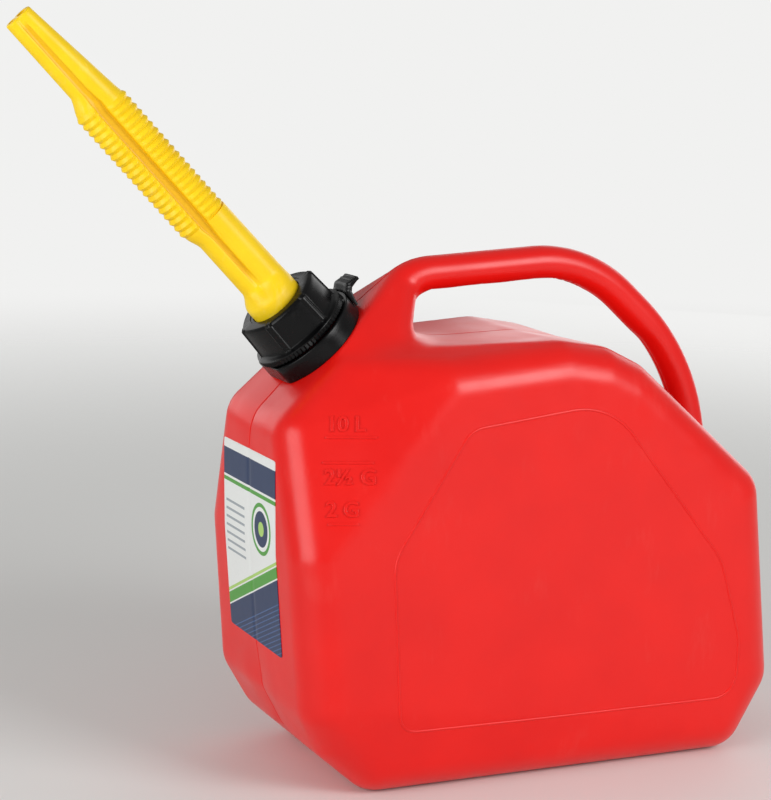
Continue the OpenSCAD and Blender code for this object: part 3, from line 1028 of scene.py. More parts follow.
@dataclass
class LevelMarks:
    """Raised level marks on the front facet of the near side. Sizes in mm.

    Words have their text and place to the right and up, lines their place and share of the full length.
    """

    skin: Object
    normal: Triple = (-0.336, -0.906, 0.257)
    corner: Triple = (-143.0, -62.0, 219.5)
    line_l: float = 30.0
    line_w: float = 1.5
    line_edge: float = 0.5
    rise: float = 0.8
    letter_h: float = 9.0
    letter_share: float = 0.7
    letter_edge: float = 0.3
    above: float = 20.0
    words: tuple[tuple[str, float, float], ...] = (
        ("10 L", 0.6, 3.6), ("2½ G", -0.6, -27.4), ("2 G", 0.2, -46.2))
    lines: tuple[Triple, ...] = ((0.0, 0.0, 1.0), (-1.8, -14.8, 1.0), (1.4, -50.6, 0.6))

    def axes(self) -> Matrix:
        """Turns the marks' right, up and out to the part's frame.

        Returns:
            Matrix with the three directions as its columns.
        """
        out = Vector(self.normal).normalized()
        right = Vector((0, 0, 1)).cross(out).normalized()
        return Matrix((right, out.cross(right), out)).transposed()

    def build(self) -> Object:
        """Makes the words and lines and lays them on the skin.

        Returns:
            All marks in one piece.
        """
        pieces = [self.word(*word) for word in self.words] + [self.line(*line) for line in self.lines]
        obj = joined("level_marks", pieces)
        settle(obj)
        self.lay(obj)
        smooth_by_angle(obj, 30)
        return obj

    def word(self, body: str, right: float, up: float) -> Object:
        """Raised word.

        Args:
            body: Text of the word.
            right: Place of its first letter to the right.
            up: Place of its first letter upwards.

        Returns:
            Mesh of the word, still flat.
        """
        text = added(bpy.ops.object.text_add, location=(right * MM, up * MM, 0))
        text.data.body = body
        text.data.size = self.letter_h / self.letter_share * MM
        text.data.extrude = self.rise * MM
        text.data.bevel_depth = self.letter_edge * MM
        text.data.resolution_u = 5
        bpy.ops.object.convert(target="MESH")
        return bpy.context.object

    def line(self, right: float, up: float, share: float) -> Object:
        """Raised level line with soft edges.

        Args:
            right: Place of its left end to the right.
            up: Place of the line upwards.
            share: Its share of the full length.

        Returns:
            Mesh of the line, still flat.
        """
        length = self.line_l * share
        bar = added(bpy.ops.mesh.primitive_cube_add, size=1.0,
                    location=((right + length / 2) * MM, up * MM, 0))
        bar.scale = (length * MM, self.line_w * MM, 2 * self.rise * MM)
        settle(bar)
        with editing(bar):
            bpy.ops.mesh.subdivide(number_cuts=7)
        finish_modifier(bar, "BEVEL", width=self.line_edge * MM, segments=3, angle_limit=math.radians(40))
        return bar

    def lay(self, obj: Object) -> None:
        """Drops each vertex along the facet's normal until it stands on the skin.

        Args:
            obj: Flat marks, with their height along z.
        """
        turn, start = self.axes(), Vector(self.corner) * MM
        out = turn.col[2]
        bpy.context.view_layer.update()
        laid = []
        for place in points_of(obj):
            above = start + turn @ Vector((place[0], place[1], self.above * MM))
            hit, spot, _, _ = self.skin.ray_cast(above, -out)
            laid.append((spot if hit else above - out * self.above * MM) + out * place[2])
        set_points(obj, np.array(laid))


@dataclass
class PanelBead:
    """Thin raised bead round the flat panel of a side wall. Sizes in mm.

    The corners have their place x, z and radius.
    """

    skin: Object
    side: int
    bead_w: float = 1.6
    bead_h: float = 0.5
    points: int = 240
    outside: float = 150.0
    corners: tuple[Triple, ...] = (
        (-102, 42, 12), (132, 39, 16), (134, 76, 40), (119, 129, 40), (36, 233, 48), (-58, 222, 16),
        (-107, 147, 30))

    def path(self) -> Points:
        """Evenly spaced places round the panel, with rounded corners.

        Returns:
            Rows of x and z.
        """
        ends = np.array([corner[:2] for corner in self.corners])
        places = []
        for i, (x, z, radius) in enumerate(self.corners):
            here = np.array([x, z], float)
            before, after = ends[i - 1] - here, ends[(i + 1) % len(ends)] - here
            before, after = before / np.linalg.norm(before), after / np.linalg.norm(after)
            half = math.acos(np.clip(before @ after, -1, 1)) / 2
            centre = here + (before + after) / np.linalg.norm(before + after) * radius / math.sin(half)
            first = here + before * radius / math.tan(half) - centre
            last = here + after * radius / math.tan(half) - centre
            for share in np.linspace(0, 1, 13):
                spoke = mix(first, last, share)
                places.append(centre + spoke / np.linalg.norm(spoke) * radius)
        loop = np.array(places + places[:1])
        along = np.append(0.0, np.cumsum(np.linalg.norm(np.diff(loop, axis=0), axis=1)))
        stops = np.linspace(0, along[-1], self.points, endpoint=False)
        return np.stack([np.interp(stops, along, loop[:, axis]) for axis in range(2)], axis=-1)

    def wall(self, spot: Points) -> float:
        """Finds the side wall at a place.

        Args:
            spot: Place x, z.

        Returns:
            Distance of the wall from the middle plane.
        """
        start = Vector((spot[0], self.side * self.outside, spot[1])) * MM
        _, place, _, _ = self.skin.ray_cast(start, Vector((0, -self.side, 0)))
        return abs(place.y) / MM

    def build(self) -> Object:
        """Sweeps the bead's low round section along the panel's edge, on the wall.

        Returns:
            The closed bead.
        """
        bpy.context.view_layer.update()
        path = self.path()
        ahead = np.roll(path, -1, axis=0) - np.roll(path, 1, axis=0)
        ahead /= np.linalg.norm(ahead, axis=1)[:, None]
        across = np.stack([ahead[:, 1], -ahead[:, 0]], axis=-1)
        turns = circle(12)
        shift = np.cos(turns) * self.bead_w / 2
        rings = [np.stack([spot[0] + shift * way[0],
                           self.side * (self.wall(spot) + np.sin(turns) * self.bead_h),
                           spot[1] + shift * way[1]], axis=-1) for spot, way in zip(path, across)]
        obj = lofted("panel_bead", np.array(rings) * MM, looped=True)
        smooth_all(obj)
        return obj


@dataclass
class FrontLabel:
    """Film label that follows the front wall. Sizes in mm."""

    skin: Object
    width: float = 88.0
    height: float = 121.0
    foot_z: float = 83.0
    thick: float = 0.35
    corner: float = 0.8
    lean: float = 3.2
    ahead_x: float = -300.0
    near_edge: float = 0.499

    def build(self) -> Object:
        """Presses a fine sheet onto the front wall and thickens it.

        Returns:
            The label in one closed piece.
        """
        obj = added(bpy.ops.mesh.primitive_grid_add, x_subdivisions=44, y_subdivisions=60, size=1.0)
        obj.name = "front_label_film"
        across, up = points_of(obj)[:, :2].T
        tips = (np.abs(across) > self.near_edge) & (np.abs(up) > self.near_edge)
        across = np.where(tips, across * (1 - 2 * self.corner / self.width), across) * self.width
        up = np.where(tips, up * (1 - 2 * self.corner / self.height), up) + 0.5
        z = self.foot_z + up * self.height * math.cos(math.radians(self.lean))
        bpy.context.view_layer.update()
        laid = []
        for side, level in zip(across, z):
            _, spot, _, _ = self.skin.ray_cast(Vector((self.ahead_x, side, level)) * MM, Vector((1, 0, 0)))
            laid.append(spot)
        set_points(obj, np.array(laid))
        finish_modifier(obj, "SMOOTH", factor=0.5, iterations=3)
        with editing(obj):
            bpy.ops.mesh.normals_make_consistent(inside=False)
        if normals_of(obj)[:, 0].mean() > 0:
            with editing(obj):
                bpy.ops.mesh.flip_normals()
        finish_modifier(obj, "SOLIDIFY", thickness=2 * self.thick * MM, offset=0.0)
        smooth_by_angle(obj, 40)
        return obj


# The black pieces

@dataclass
class LockRing:
    """Ring with one flat that is keyed to the shoulder under the collar. Sizes in mm."""

    neck: NeckFrame
    radius: float = 34.2
    flat: float = 30.5
    flat_blend: float = 1.2
    height: float = 12.0
    lip_h: float = 2.6
    lip_r: float = 31.8
    lip_wall: float = 1.4
    bore_r: float = 20.85
    bore_edge: float = 0.5
    edge: float = 0.7
    small_edge: float = 0.3
    wall_stops: Triple = (0.5, 4.0, 8.0)

    def build(self) -> Object:
        """Turns the ring's wall, rounded lip, step and bore.

        Returns:
            The ring in one closed piece.
        """
        around = circle(360)
        ahead = np.maximum(-np.cos(around), 1e-6)
        wall = soft_min(self.radius, self.flat / ahead, self.flat_blend)
        rings = [(wall - self.small_edge, 0.0), *((wall, z) for z in self.wall_stops)]
        rings += [(wall - self.edge * (1 - math.cos(turn)), self.height - self.edge * (1 - math.sin(turn)))
                  for turn in np.linspace(0, math.pi / 2, 5)]
        inner = np.minimum(wall - self.lip_wall, self.lip_r)
        step = self.height - self.lip_h
        rings += [(inner + self.edge * 0.5, self.height), (inner, self.height - self.edge * 0.5),
                  (inner, step + self.small_edge), (inner - self.small_edge, step),
                  (self.bore_r + self.bore_edge, step), (self.bore_r, step - self.bore_edge),
                  (self.bore_r, 0.0)]
        return turned("lock_ring_wall", self.neck, rings, around)


@dataclass
class ScrewCollar:
    """Six-sided screw collar with twin ribs on its corners and a toothed rim. Sizes in mm."""

    neck: NeckFrame
    foot_z: float = 12.35
    top_z: float = 37.9
    rim_r: float = 31.7
    rim_h: float = 4.3
    rim_edge: float = 0.7
    tooth_n: int = 72
    tooth_d: float = 0.9
    tooth_h: float = 3.4
    tooth_edge: float = 0.4
    tooth_share: float = 0.6
    flats_foot: float = 26.4
    flats_top: float = 25.0
    round_share: float = 0.55
    round_out: float = 1.6
    corner_foot_r: float = 29.2
    corner_top_r: float = 28.0
    corner_blend: float = 0.8
    turn: float = -71.0
    rib_half: float = 1.7
    rib_w: float = 0.5
    rib_h: float = 0.7
    flare_h: float = 1.6
    flare_power: float = 2.4
    chamfer: float = 1.5
    hole_r: float = 17.35
    cavity_r: float = 23.2
    cavity_edge: float = 0.6
    roof_z: float = 31.9

    def six_sided(self, around: Points, z: float) -> Points:
        """Radii of the six-sided wall with its corner ribs.

        Args:
            around: Angles of the radii.
            z: Height.

        Returns:
            One radius per angle.
        """
        sixth = math.pi / 3
        from_corner = (around - math.radians(self.turn) + sixth / 2) % sixth - sixth / 2
        rise = (z - self.foot_z) / (self.top_z - self.foot_z)
        flats = mix(self.flats_foot, self.flats_top, rise)
        sharp = flats / np.cos(sixth / 2 - np.abs(from_corner))
        flat = mix(sharp, flats + self.round_out, self.round_share)
        wall = soft_min(flat, mix(self.corner_foot_r, self.corner_top_r, rise), self.corner_blend)
        offset = np.abs(np.abs(wall * np.sin(from_corner)) - self.rib_half)
        rib = self.rib_h * np.exp(-(offset / self.rib_w) ** 2)
        fade = smooth(z, self.foot_z + self.rim_h - 1, self.foot_z + self.rim_h + 2)
        return wall + rib * fade

    def toothed(self, around: Points) -> Points:
        """Radii of the saw-toothed rim.

        Args:
            around: Angles of the radii.

        Returns:
            One radius per angle.
        """
        phase = (around * self.tooth_n / (2 * math.pi)) % 1.0
        rising, falling = phase / self.tooth_share, (1 - phase) / (1 - self.tooth_share)
        return self.rim_r - self.tooth_d * np.where(phase < self.tooth_share, rising, falling)

    def build(self) -> Object:
        """Turns the rim, flare, six-sided wall, top and cavity.

        Returns:
            The collar in one closed piece.
        """
        around = circle(720)
        teeth = self.toothed(around)
        tooth_top, rim_top = self.foot_z + self.tooth_h, self.foot_z + self.rim_h
        flare_top, wall_top = rim_top + self.flare_h, self.top_z - self.chamfer
        inner_rim = self.rim_r - self.rim_edge
        # Edges of the rim, the top and the hole are broken by a few tenths of a millimetre
        rings = [(teeth - self.tooth_edge, self.foot_z), (teeth, self.foot_z + self.tooth_edge),
                 (teeth, tooth_top), (self.rim_r, tooth_top + 0.1), (self.rim_r, rim_top - 0.6),
                 (self.rim_r - 0.2, rim_top - 0.2), (inner_rim, rim_top)]
        for share in np.linspace(0.08, 1, 10):
            z = rim_top + self.flare_h * share
            rings.append((mix(self.six_sided(around, z), inner_rim, (1 - share) ** self.flare_power), z))
        for z in np.linspace(flare_top + 0.8, wall_top - 0.4, 8):
            rings.append((self.six_sided(around, z), z))
        edge = self.six_sided(around, wall_top)
        rings += [(edge - 0.15, wall_top), (edge - self.chamfer, self.top_z - 0.15),
                  (edge - self.chamfer - 0.3, self.top_z)]
        rings += [(self.hole_r + 2.2, self.top_z), (self.hole_r + 1.9, self.top_z - 0.5),
                  (self.hole_r + 0.4, self.top_z - 0.5), (self.hole_r, self.top_z - 0.9),
                  (self.hole_r, self.roof_z), (self.cavity_r, self.roof_z),
                  (self.cavity_r, self.foot_z + self.cavity_edge),
                  (self.cavity_r + self.cavity_edge, self.foot_z)]
        return turned("collar_shell", self.neck, rings, around)


@dataclass
class ReleaseTab:
    """Springy tongue beside the lock ring, with a lip to pull it by. Sizes in mm."""

    neck: NeckFrame
    inside: float = 34.55
    foot_z: float = 3.0
    bend_z: float = 12.2
    lip_z: float = 16.5
    droop: float = 10.0
    root_w: float = 21.5
    foot_w: float = 25.0
    foot_t: float = 2.0
    tip_w: float = 18.5
    thick: float = 4.0
    lip_t: float = 2.0
    lip: float = 11.4
    thin_from: float = 3.0
    bend_r: float = 1.6
    edge: float = 0.6
    squareness: float = 3.0
    ridge_w: float = 1.5
    ridge_h: float = 0.7
    ridge_edge: float = 0.4
    ridge_sink: float = 0.3
    ridge_short: float = 1.2
    ridges: Pair = (1.2, 4.2)

    def path(self) -> list[Triple]:
        """Inner face of the tongue, from its foot to the lip's end.

        Returns:
            Points x, z and turns outwards in radians.
        """
        slant = math.pi / 4
        run = self.lip_z - self.bend_z - 2 * self.bend_r * math.sin(slant)
        # Length of each straight run or 0 for a bend, its turn and its number of steps
        marks = [(self.bend_z - self.foot_z, 0.0, 4),
                 (0.0, slant, 6),
                 (max(0.5, run) / math.cos(slant), 0.0, 3),
                 (0.0, slant + math.radians(self.droop), 6)]
        x, z, turn = self.inside, self.foot_z, 0.0
        path = [(x, z, turn)]
        for size, swing, steps in marks:
            for _ in range(steps):
                turn += swing / steps
                step = size / steps if size else self.bend_r * swing / steps
                x, z = x + step * math.sin(turn), z + step * math.cos(turn)
                path.append((x, z, turn))
        fall = math.tan(turn - math.pi / 2)
        rest = np.linspace(0, self.inside + self.lip - x, 6)[1:]
        return path + [(x + float(out), z - float(out) * fall, turn) for out in rest]

    def build(self) -> Object:
        """Lofts the tongue from its foot, which hugs the ring, to its lip and adds the grip ridges.

        Returns:
            The tongue with its ridges in one piece.
        """
        path = self.path()
        turns = circle(32)
        cos, sin = np.cos(turns), np.sin(turns)
        rings = []
        for i, (x, z, turn) in enumerate(path):
            share = float(smooth(i / (len(path) - 1), 0.05, 0.9))
            grown = float(smooth(z, self.foot_z, self.bend_z))
            half = mix(self.foot_w, mix(self.root_w, self.tip_w, share), grown) / 2 - self.edge
            thin = float(smooth(x - self.inside, self.thin_from, self.lip))
            body = mix(mix(self.foot_t, self.thick, grown), self.lip_t, thin)
            flank = np.clip(cos * self.squareness, -1, 1) * (body / 2 - self.edge)
            deep = flank + cos * self.edge + body / 2
            across = np.clip(sin * self.squareness, -1, 1) * half + sin * self.edge
            hug = (self.inside - np.sqrt(self.inside ** 2 - across ** 2)) * (1 - share)
            rings.append(np.stack([x + deep * math.cos(turn) - hug, across, z - deep * math.sin(turn)],
                                  axis=-1))
        obj = lofted("release_tongue", self.neck.place(np.array(rings)))
        obj = joined("release_tongue", [obj, *(self.ridge(back) for back in self.ridges)])
        smooth_by_angle(obj, 45)
        return obj

    def ridge(self, back: float) -> Object:
        """Grip ridge across the lip.

        Args:
            back: Distance from the lip's end.

        Returns:
            The ridge as a bar with soft edges.
        """
        x, z, turn = self.path()[-1]
        place = Vector((x - back, 0, z + back * math.tan(turn - math.pi / 2) - self.ridge_sink))
        bar = added(bpy.ops.mesh.primitive_cube_add, size=1.0, location=place * MM)
        bar.scale = Vector((self.ridge_w, self.tip_w - self.ridge_short, 2 * self.ridge_h)) * MM
        settle(bar)
        finish_modifier(bar, "BEVEL", width=self.ridge_edge * MM, segments=3)
        bar.matrix_world = self.neck.matrix()
        settle(bar)
        return bar


# The spout

@dataclass(frozen=True)
class SpoutSection:
    """Two-lobed section of the spout. Sizes in mm."""

    flow_r: float
    flow_at: float
    vent_r: float
    vent_at: float
    slot_half: float = 1.5
    slot: float = 0.0
    rib: float = 0.0
    round_waist: ClassVar[float] = -2.8
    round_apart: ClassVar[float] = 0.5
    round_fade: ClassVar[float] = 5.0

    def toward(self, other: "SpoutSection", share: float) -> "SpoutSection":
        """Section that lies a share of the way to another one."""
        return SpoutSection(*(mix(mine, its, share) for mine, its in zip(astuple(self), astuple(other))))

    def surface(self, x: Points) -> Points:
        """Half height of the outline.

        Args:
            x: Places across the spout.

        Returns:
            One height per place.
        """
        flow = np.sqrt(np.maximum(self.flow_r ** 2 - (x - self.flow_at) ** 2, 0))
        vent = np.sqrt(np.maximum(self.vent_r ** 2 - (x + self.vent_at) ** 2, 0))
        return np.maximum(flow, vent)

    def waist(self) -> float:
        """Finds where the two lobes meet.

        Returns:
            Place across the spout, which is a set one where the section is round.
        """
        apart = self.flow_at + self.vent_at
        if apart < self.round_apart:
            return self.round_waist
        meet = (apart ** 2 + self.flow_r ** 2 - self.vent_r ** 2) / (2 * apart)
        share = min(1.0, (apart - self.round_apart) / self.round_fade)
        return mix(self.round_waist, self.flow_at - meet, share)


@dataclass
class PourSpout:
    """Flexible spout: bulb, stem, bellows and nozzle in one piece, with a slot along both sides. Sizes in mm.

    The last rib's places count from the bellows' end. A port has its place across the spout and its radius.
    """

    neck: NeckFrame
    flange_z: float = 29.18
    flange_t: float = 2.4
    flange_r: float = 20.45
    bulb_r: float = 17.0
    bulb_z: float = 33.0
    bulb_end: float = 43.3
    stem_z: float = 55.3
    slot_from: float = 54.0
    slot_full: float = 68.0
    slot_stop: float = 260.0
    slot_fade: float = 4.0
    slot_floor: float = 5.4
    slot_least: float = 0.2
    bellows_from: float = 105.0
    bellows_to: float = 199.0
    rib_n: int = 20
    rib_d: float = 1.5
    rib_power: float = 0.8
    rib_fade: float = 0.3
    last_rib_at: Triple = (-5.4, -4.6, 0.0)
    last_rib_share: Triple = (0.0, 0.5, 1.0)
    last_rib_calm: Pair = (-5.2, -4.5)
    stem_step: float = 12.0
    root_step: float = 11.0
    tip_z: float = 264.0
    tip_round: Pair = (0.8, 0.25)
    tip_share: float = 0.4
    arc_points: int = 26
    flank_points: int = 4
    floor_points: int = 8
    ports: tuple[Pair, ...] = ((1.6, 3.4), (-5.9, 2.3))
    port_depth: float = 4.0
    stem: SpoutSection = SpoutSection(10.5, 6.2, 6.5, 5.7, 1.5, 1.0)
    upper_stem: SpoutSection = SpoutSection(10.3, 5.9, 6.5, 5.7, 1.6, 1.0)
    shoulder: SpoutSection = SpoutSection(10.3, 5.8, 7.2, 8.0, 2.7, 1.0)
    ribbed: SpoutSection = SpoutSection(10.0, 5.4, 7.7, 8.2, 2.85, 1.0, 1.0)
    last_rib: SpoutSection = SpoutSection(8.9, 5.0, 7.7, 8.2, 2.85, 1.0, 1.0)
    plain: SpoutSection = SpoutSection(8.9, 5.0, 7.2, 8.0, 2.7, 1.0)
    root: SpoutSection = SpoutSection(8.3, 4.5, 5.0, 5.3, 2.0, 1.0)
    tip: SpoutSection = SpoutSection(5.6, 1.6, 4.6, 5.6, 1.7, 1.0)
    end: SpoutSection = SpoutSection(5.0, 1.6, 4.0, 5.6, 1.1, 0.0)

    def sections(self) -> list[tuple[float, SpoutSection]]:
        """Finds the sections along the spout, from the flange to the tip.

        Returns:
            Heights and sections.
        """
        flange = SpoutSection(self.flange_r, 0, self.flange_r, 0)
        bulb = SpoutSection(self.bulb_r, 0, self.bulb_r, 0)
        flange_top = self.flange_z + self.flange_t
        step_z, root_z = self.bellows_from - self.stem_step, self.bellows_to + self.root_step
        found = [(self.flange_z, flange), (flange_top, flange), (flange_top + 0.01, bulb)]
        found += [(z, bulb) for z in np.linspace(self.bulb_z, self.bulb_end, 5)]
        found += self.between(self.bulb_end, bulb, self.stem_z, self.stem, np.linspace(0.05, 1, 16), 1.0)
        found += self.between(self.stem_z, self.stem, step_z, self.upper_stem, np.linspace(0.06, 1, 14), 0.0)
        found += self.between(step_z, self.upper_stem, self.bellows_from, self.shoulder,
                              np.linspace(0.1, 1, 8), 1.0)
        for z in np.linspace(self.bellows_from, self.bellows_to, self.rib_n * 10 + 1):
            done = np.interp(z - self.bellows_to, self.last_rib_at, self.last_rib_share)
            found.append((float(z), self.ribbed.toward(self.last_rib, float(done))))
        found += self.between(self.bellows_to, self.plain, root_z, self.root, np.linspace(0.08, 1, 12), 0.4)
        round_from, round_middle = (self.tip_z - down for down in self.tip_round)
        found += self.between(root_z, self.root, round_from, self.tip, np.linspace(0.03, 1, 36), 0.0)
        found += [(round_middle, self.tip.toward(self.end, self.tip_share)), (self.tip_z, self.end)]
        return [(z, self.slotted(z, section)) for z, section in found]

    def between(self, low: float, first: SpoutSection, high: float, last: SpoutSection, shares: Points,
                ease: float) -> list[tuple[float, SpoutSection]]:
        """Finds the sections of a length that changes from one section to another.

        Args:
            low: Height of the first section.
            first: Section that the length starts from.
            high: Height of the last section.
            last: Section that the length ends with.
            shares: Shares of the length at which sections stand.
            ease: How softly the change starts and ends, from 0 for a straight one to 1.

        Returns:
            Heights and sections.
        """
        eased = mix(shares, smooth(shares, 0, 1), ease)
        return [(mix(low, high, share), first.toward(last, float(soft)))
                for share, soft in zip(shares, eased)]

    def slotted(self, z: float, section: SpoutSection) -> SpoutSection:
        """Section with its slot faded out towards the bulb and the tip.

        Args:
            z: Height of the section.
            section: Its sizes with a full slot.

        Returns:
            The same section with its share of the slot.
        """
        begun = smooth(z, self.slot_from, self.slot_full)
        ended = smooth(z, self.slot_stop - self.slot_fade, self.slot_stop)
        return replace(section, slot=section.slot * float(begun * (1 - ended)))

    def outline(self, z: float, section: SpoutSection) -> tuple[Points, Points]:
        """Closed outline of a section and how deep each point lies in the slot, which sets the painted shade
        there.

        Args:
            z: Height of the section.
            section: Its sizes.

        Returns:
            Points by x, y, z in mm, and slot shares from 0 to 1 for the painted shade.
        """
        waist = section.waist()
        near, far = waist + section.slot_half, waist - section.slot_half
        flow_end = math.acos(np.clip((near - section.flow_at) / section.flow_r, -1, 1))
        vent_start = math.acos(np.clip((far + section.vent_at) / section.vent_r, -1, 1))
        pitch = (self.bellows_to - self.bellows_from) / self.rib_n
        wave = 1 - abs(2 * (((z - self.bellows_from) / pitch) % 1.0) - 1)
        swell = section.rib * self.rib_d * (wave ** self.rib_power - 0.5)
        flow_turn = np.linspace(0, flow_end, self.arc_points)
        vent_turn = np.linspace(vent_start, math.pi, self.arc_points)
        calm_from, calm_to = (self.bellows_to + down for down in self.last_rib_calm)
        waved = 1 - float(smooth(z, calm_from, calm_to))
        flow_r = section.flow_r + swell * waved * smooth(flow_end - flow_turn, 0.0, self.rib_fade)
        vent_r = section.vent_r + swell * smooth(vent_turn - vent_start, 0.0, self.rib_fade)
        flow = np.stack([section.flow_at + flow_r * np.cos(flow_turn), flow_r * np.sin(flow_turn)], axis=-1)
        vent = np.stack([-section.vent_at + vent_r * np.cos(vent_turn), vent_r * np.sin(vent_turn)], axis=-1)
        cross = np.linspace(near, far, self.floor_points)
        surface = section.surface(cross)
        level = mix(surface, np.minimum(self.slot_floor, surface - self.slot_least), section.slot)
        floor = np.stack([cross, level], axis=-1)
        flank = np.linspace(0.2, 0.8, self.flank_points)[:, None]
        deeper = np.linspace(0.5, 1, self.flank_points)
        half = np.concatenate([flow, mix(flow[-1], floor[0], flank), floor,
                               mix(floor[-1], vent[0], flank), vent])
        # Shares of the slot's depth, which the finish paints as shade
        inside = np.concatenate([np.zeros(len(flow)), deeper, np.ones(len(floor)), deeper[::-1],
                                 np.zeros(len(vent))]) * section.slot
        whole = np.concatenate([half, half[-2:0:-1] * [1, -1]])
        depth = np.concatenate([inside, inside[-2:0:-1]])
        for _ in range(2):
            whole = 0.5 * whole + 0.25 * (np.roll(whole, 1, axis=0) + np.roll(whole, -1, axis=0))
        return np.column_stack([whole, np.full(len(whole), z)]), depth

    def build(self) -> Object:
        """Lofts the sections, paints shade into the slot and drills the two ports at the tip.

        Returns:
            The spout in one piece.
        """
        outlines = [self.outline(z, section) for z, section in self.sections()]
        rings, slot_shade_shares = (np.array(part) for part in zip(*outlines))
        # The slot shares go onto the mesh to paint shade into the slot
        obj = lofted("pour_spout", self.neck.place(rings), slot=slot_shade_shares)
        for across, radius in self.ports:
            self.drill(obj, across, radius)
        smooth_by_angle(obj, 50)
        return obj

    def drill(self, obj: Object, across: float, radius: float) -> None:
        """Cuts a round port into the tip with a boolean.

        Args:
            obj: Spout mesh.
            across: Place of the port across the spout.
            radius: Radius of the port.
        """
        tool = added(bpy.ops.mesh.primitive_cylinder_add, vertices=40, radius=radius * MM,
                     depth=2 * self.port_depth * MM)
        tool.matrix_world = self.neck.matrix() @ Matrix.Translation((across * MM, 0, self.tip_z * MM))
        settle(tool)
        finish_modifier(obj, "BOOLEAN", operation="DIFFERENCE", object=tool, solver="EXACT")
        bpy.data.objects.remove(tool)


# Dressing and the studio

def dress(obj: Object, material: Material, body: Body, slot: Slot, *nodes: str) -> None:
    """Gives a piece its finish, its body and the CAD nodes that it stands for.

    Args:
        obj: Finished piece.
        material: Its material.
        body: Body that it rides on.
        slot: Record slot of its finish; not used.
        nodes: CAD nodes that it replaces.
    """
    obj.data.materials.clear()
    obj.data.materials.append(material)
    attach(obj, body.value)
    if nodes:
        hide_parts(*nodes)
    LOG.info("%s: %d faces on %s", obj.name, len(obj.data.polygons), body.value)


def repaint(node: str, material: Material) -> None:
    """Gives a CAD node that stays a better material.

    Args:
        node: Name of the node.
        material: Its new material.
    """
    obj = frame["nodes"][node]
    obj.data.materials.clear()
    obj.data.materials.append(material)
    LOG.info("%s keeps its CAD shape", node)


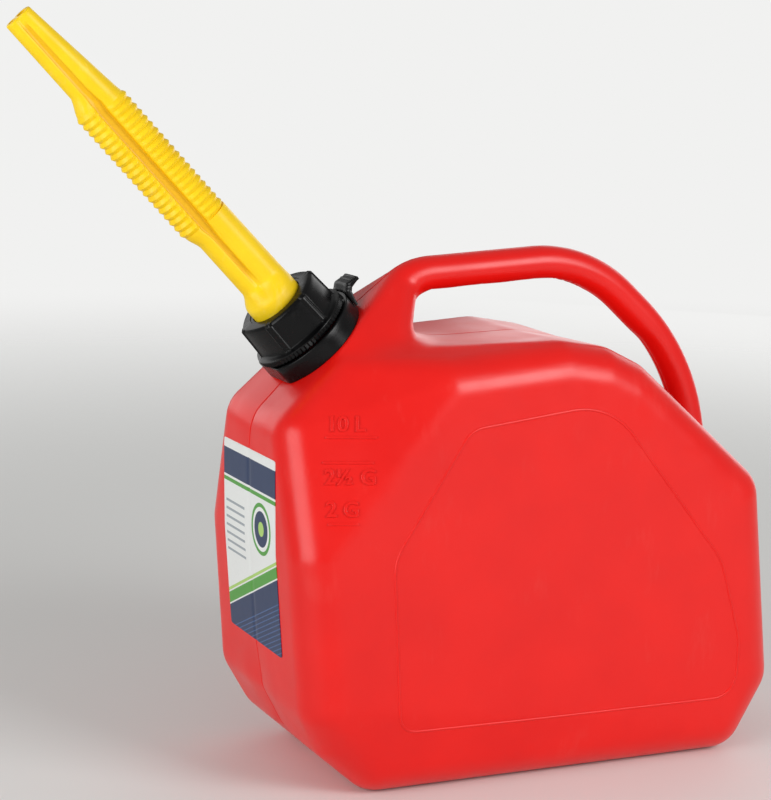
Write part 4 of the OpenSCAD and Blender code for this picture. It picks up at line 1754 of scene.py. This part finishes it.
@dataclass
class Studio:
    """Pale floor, soft lamps, a plain world and the camera at the photograph's angle. Sizes in metres.

    The lamps have their name, place, size and power in watts.
    """

    camera_at: Triple = (-0.6066, -1.1675, 0.4415)
    camera_forward: Triple = (0.4075, 0.8983, -0.1642)
    camera_up: Triple = (0.0524, 0.1565, 0.9863)
    lens: float = 94.5
    floor_r: float = 7.0
    floor_tint: str = "#e6e6e4"
    floor_roughness: float = 0.85
    floor_fade: Pair = (0.7, 2.6)
    world_tint: str = "#f1f1f0"
    world_light: float = 0.37
    aim: Triple = (0.0, 0.0, 0.15)
    lamps: tuple[tuple[str, Triple, float, float], ...] = (
        ("left_softbox", (-1.7, -0.7, 0.55), 1.2, 18.0),
        ("front_softbox", (0.78, -1.55, 0.95), 0.86, 20.0),
        ("rear_left_softbox", (-0.9, 2.0, 0.9), 1.4, 7.0),
        ("rear_right_softbox", (1.58, 1.55, 0.62), 1.6, 10.0))

    def build(self) -> None:
        """Makes the camera, world, floor and lamps."""
        self.camera()
        self.world()
        self.floor()
        for lamp in self.lamps:
            self.lamp(*lamp)

    def camera(self) -> None:
        """Stands the camera where the photograph was taken from."""
        camera = added(bpy.ops.object.camera_add, location=self.camera_at)
        camera.name = "photo_camera"
        forward, up = Vector(self.camera_forward).normalized(), Vector(self.camera_up)
        right = forward.cross(up).normalized()
        axes = Matrix((right, right.cross(forward), -forward)).transposed()
        camera.matrix_world = Matrix.Translation(self.camera_at) @ axes.to_4x4()
        camera.data.lens = self.lens
        bpy.context.scene.camera = camera

    def world(self) -> None:
        """Pale surroundings: full to the eye, lower as light."""
        world = bpy.data.worlds.new("studio")
        world.use_nodes = True
        tree = world.node_tree
        tree.nodes.clear()
        path = add_node(tree, "LightPath")
        strength = add_node(tree, "MapRange", {"Value": path.outputs["Is Camera Ray"],
                                               "To Min": self.world_light, "To Max": 1.0})
        sky = add_node(tree, "Background", {"Color": srgb(self.world_tint), "Strength": strength.outputs[0]})
        add_node(tree, "OutputWorld", {"Surface": sky.outputs[0]})
        bpy.context.scene.world = world

    def floor(self) -> None:
        """Lays a round floor of backdrop paper, pale and matt, that fades into the surroundings."""
        floor = added(bpy.ops.mesh.primitive_circle_add, vertices=96, radius=self.floor_r, fill_type="NGON")
        floor.name = "studio_floor"
        made, tree = new_material("pale_backdrop_paper")
        near, away = self.floor_fade
        space = add_node(tree, "TexCoord").outputs["Object"]
        reach = add_node(tree, "VectorMath", {0: space}, operation="LENGTH")
        fade = add_node(tree, "MapRange", {"Value": reach.outputs["Value"], "From Min": near,
                                           "From Max": away}, interpolation_type="SMOOTHSTEP")
        matt = add_node(tree, "BsdfPrincipled", {"Base Color": srgb(self.floor_tint),
                                                 "Roughness": self.floor_roughness})
        clear = add_node(tree, "BsdfTransparent")
        blend = add_node(tree, "MixShader", {"Fac": fade.outputs[0], 1: matt.outputs[0], 2: clear.outputs[0]})
        add_node(tree, "OutputMaterial", {"Surface": blend.outputs[0]})
        floor.data.materials.append(made)

    def lamp(self, name: str, place: Triple, size: float, power: float) -> None:
        """Hangs one soft square lamp that faces the can.

        Args:
            name: Name of the lamp.
            place: Where it hangs.
            size: Length of its sides.
            power: Power in watts.
        """
        lamp = added(bpy.ops.object.light_add, type="AREA", location=place)
        lamp.name = name
        lamp.data.size = size
        lamp.data.energy = power
        lamp.visible_camera = False
        lamp.rotation_euler = (Vector(self.aim) - Vector(place)).to_track_quat("-Z", "Y").to_euler()


def main() -> None:
    """Builds the studio and the can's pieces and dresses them."""
    logging.basicConfig(level=logging.INFO, format="%(name)s: %(message)s")
    bpy.context.scene.view_settings.view_transform = "Standard"
    Studio().build()
    red, black, yellow, rubber = (finish.material() for finish in (RED_HDPE, BLACK_PP, YELLOW_PE, NITRILE))
    neck = NeckFrame.from_frame()
    shell = TankShell(neck).build()
    dress(shell, red, Body.CAN, Slot.RED, "can_body", "can_handle")
    dress(LevelMarks(shell).build(), red, Body.CAN, Slot.RED)
    dress(FrontLabel(shell).build(), LabelFilm().material(), Body.CAN, Slot.FILM, "front_label")
    for side in (-1, 1):
        dress(PanelBead(shell, side).build(), red, Body.CAN, Slot.RED)
    dress(CanNeck(neck).build(), red, Body.CAN, Slot.RED, "can_neck")
    dress(LockRing(neck).build(), black, Body.CAN, Slot.BLACK, "lock_ring")
    dress(ReleaseTab(neck).build(), black, Body.TAB, Slot.BLACK, "release_tab")
    dress(ScrewCollar(neck).build(), black, Body.COLLAR, Slot.BLACK, "screw_collar")
    spout = PourSpout(neck)
    piece = spout.build()
    piece.data.materials.append(yellow)
    ends = [Vector(neck.place(np.array([0.0, 0.0, z]))) for z in (spout.bellows_from, spout.bellows_to)]
    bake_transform(piece)
    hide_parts("spout_base", "spout_bellows", "spout_nozzle")
    repaint("spout_gasket", rubber)


if __name__ == "__main__":
    main()
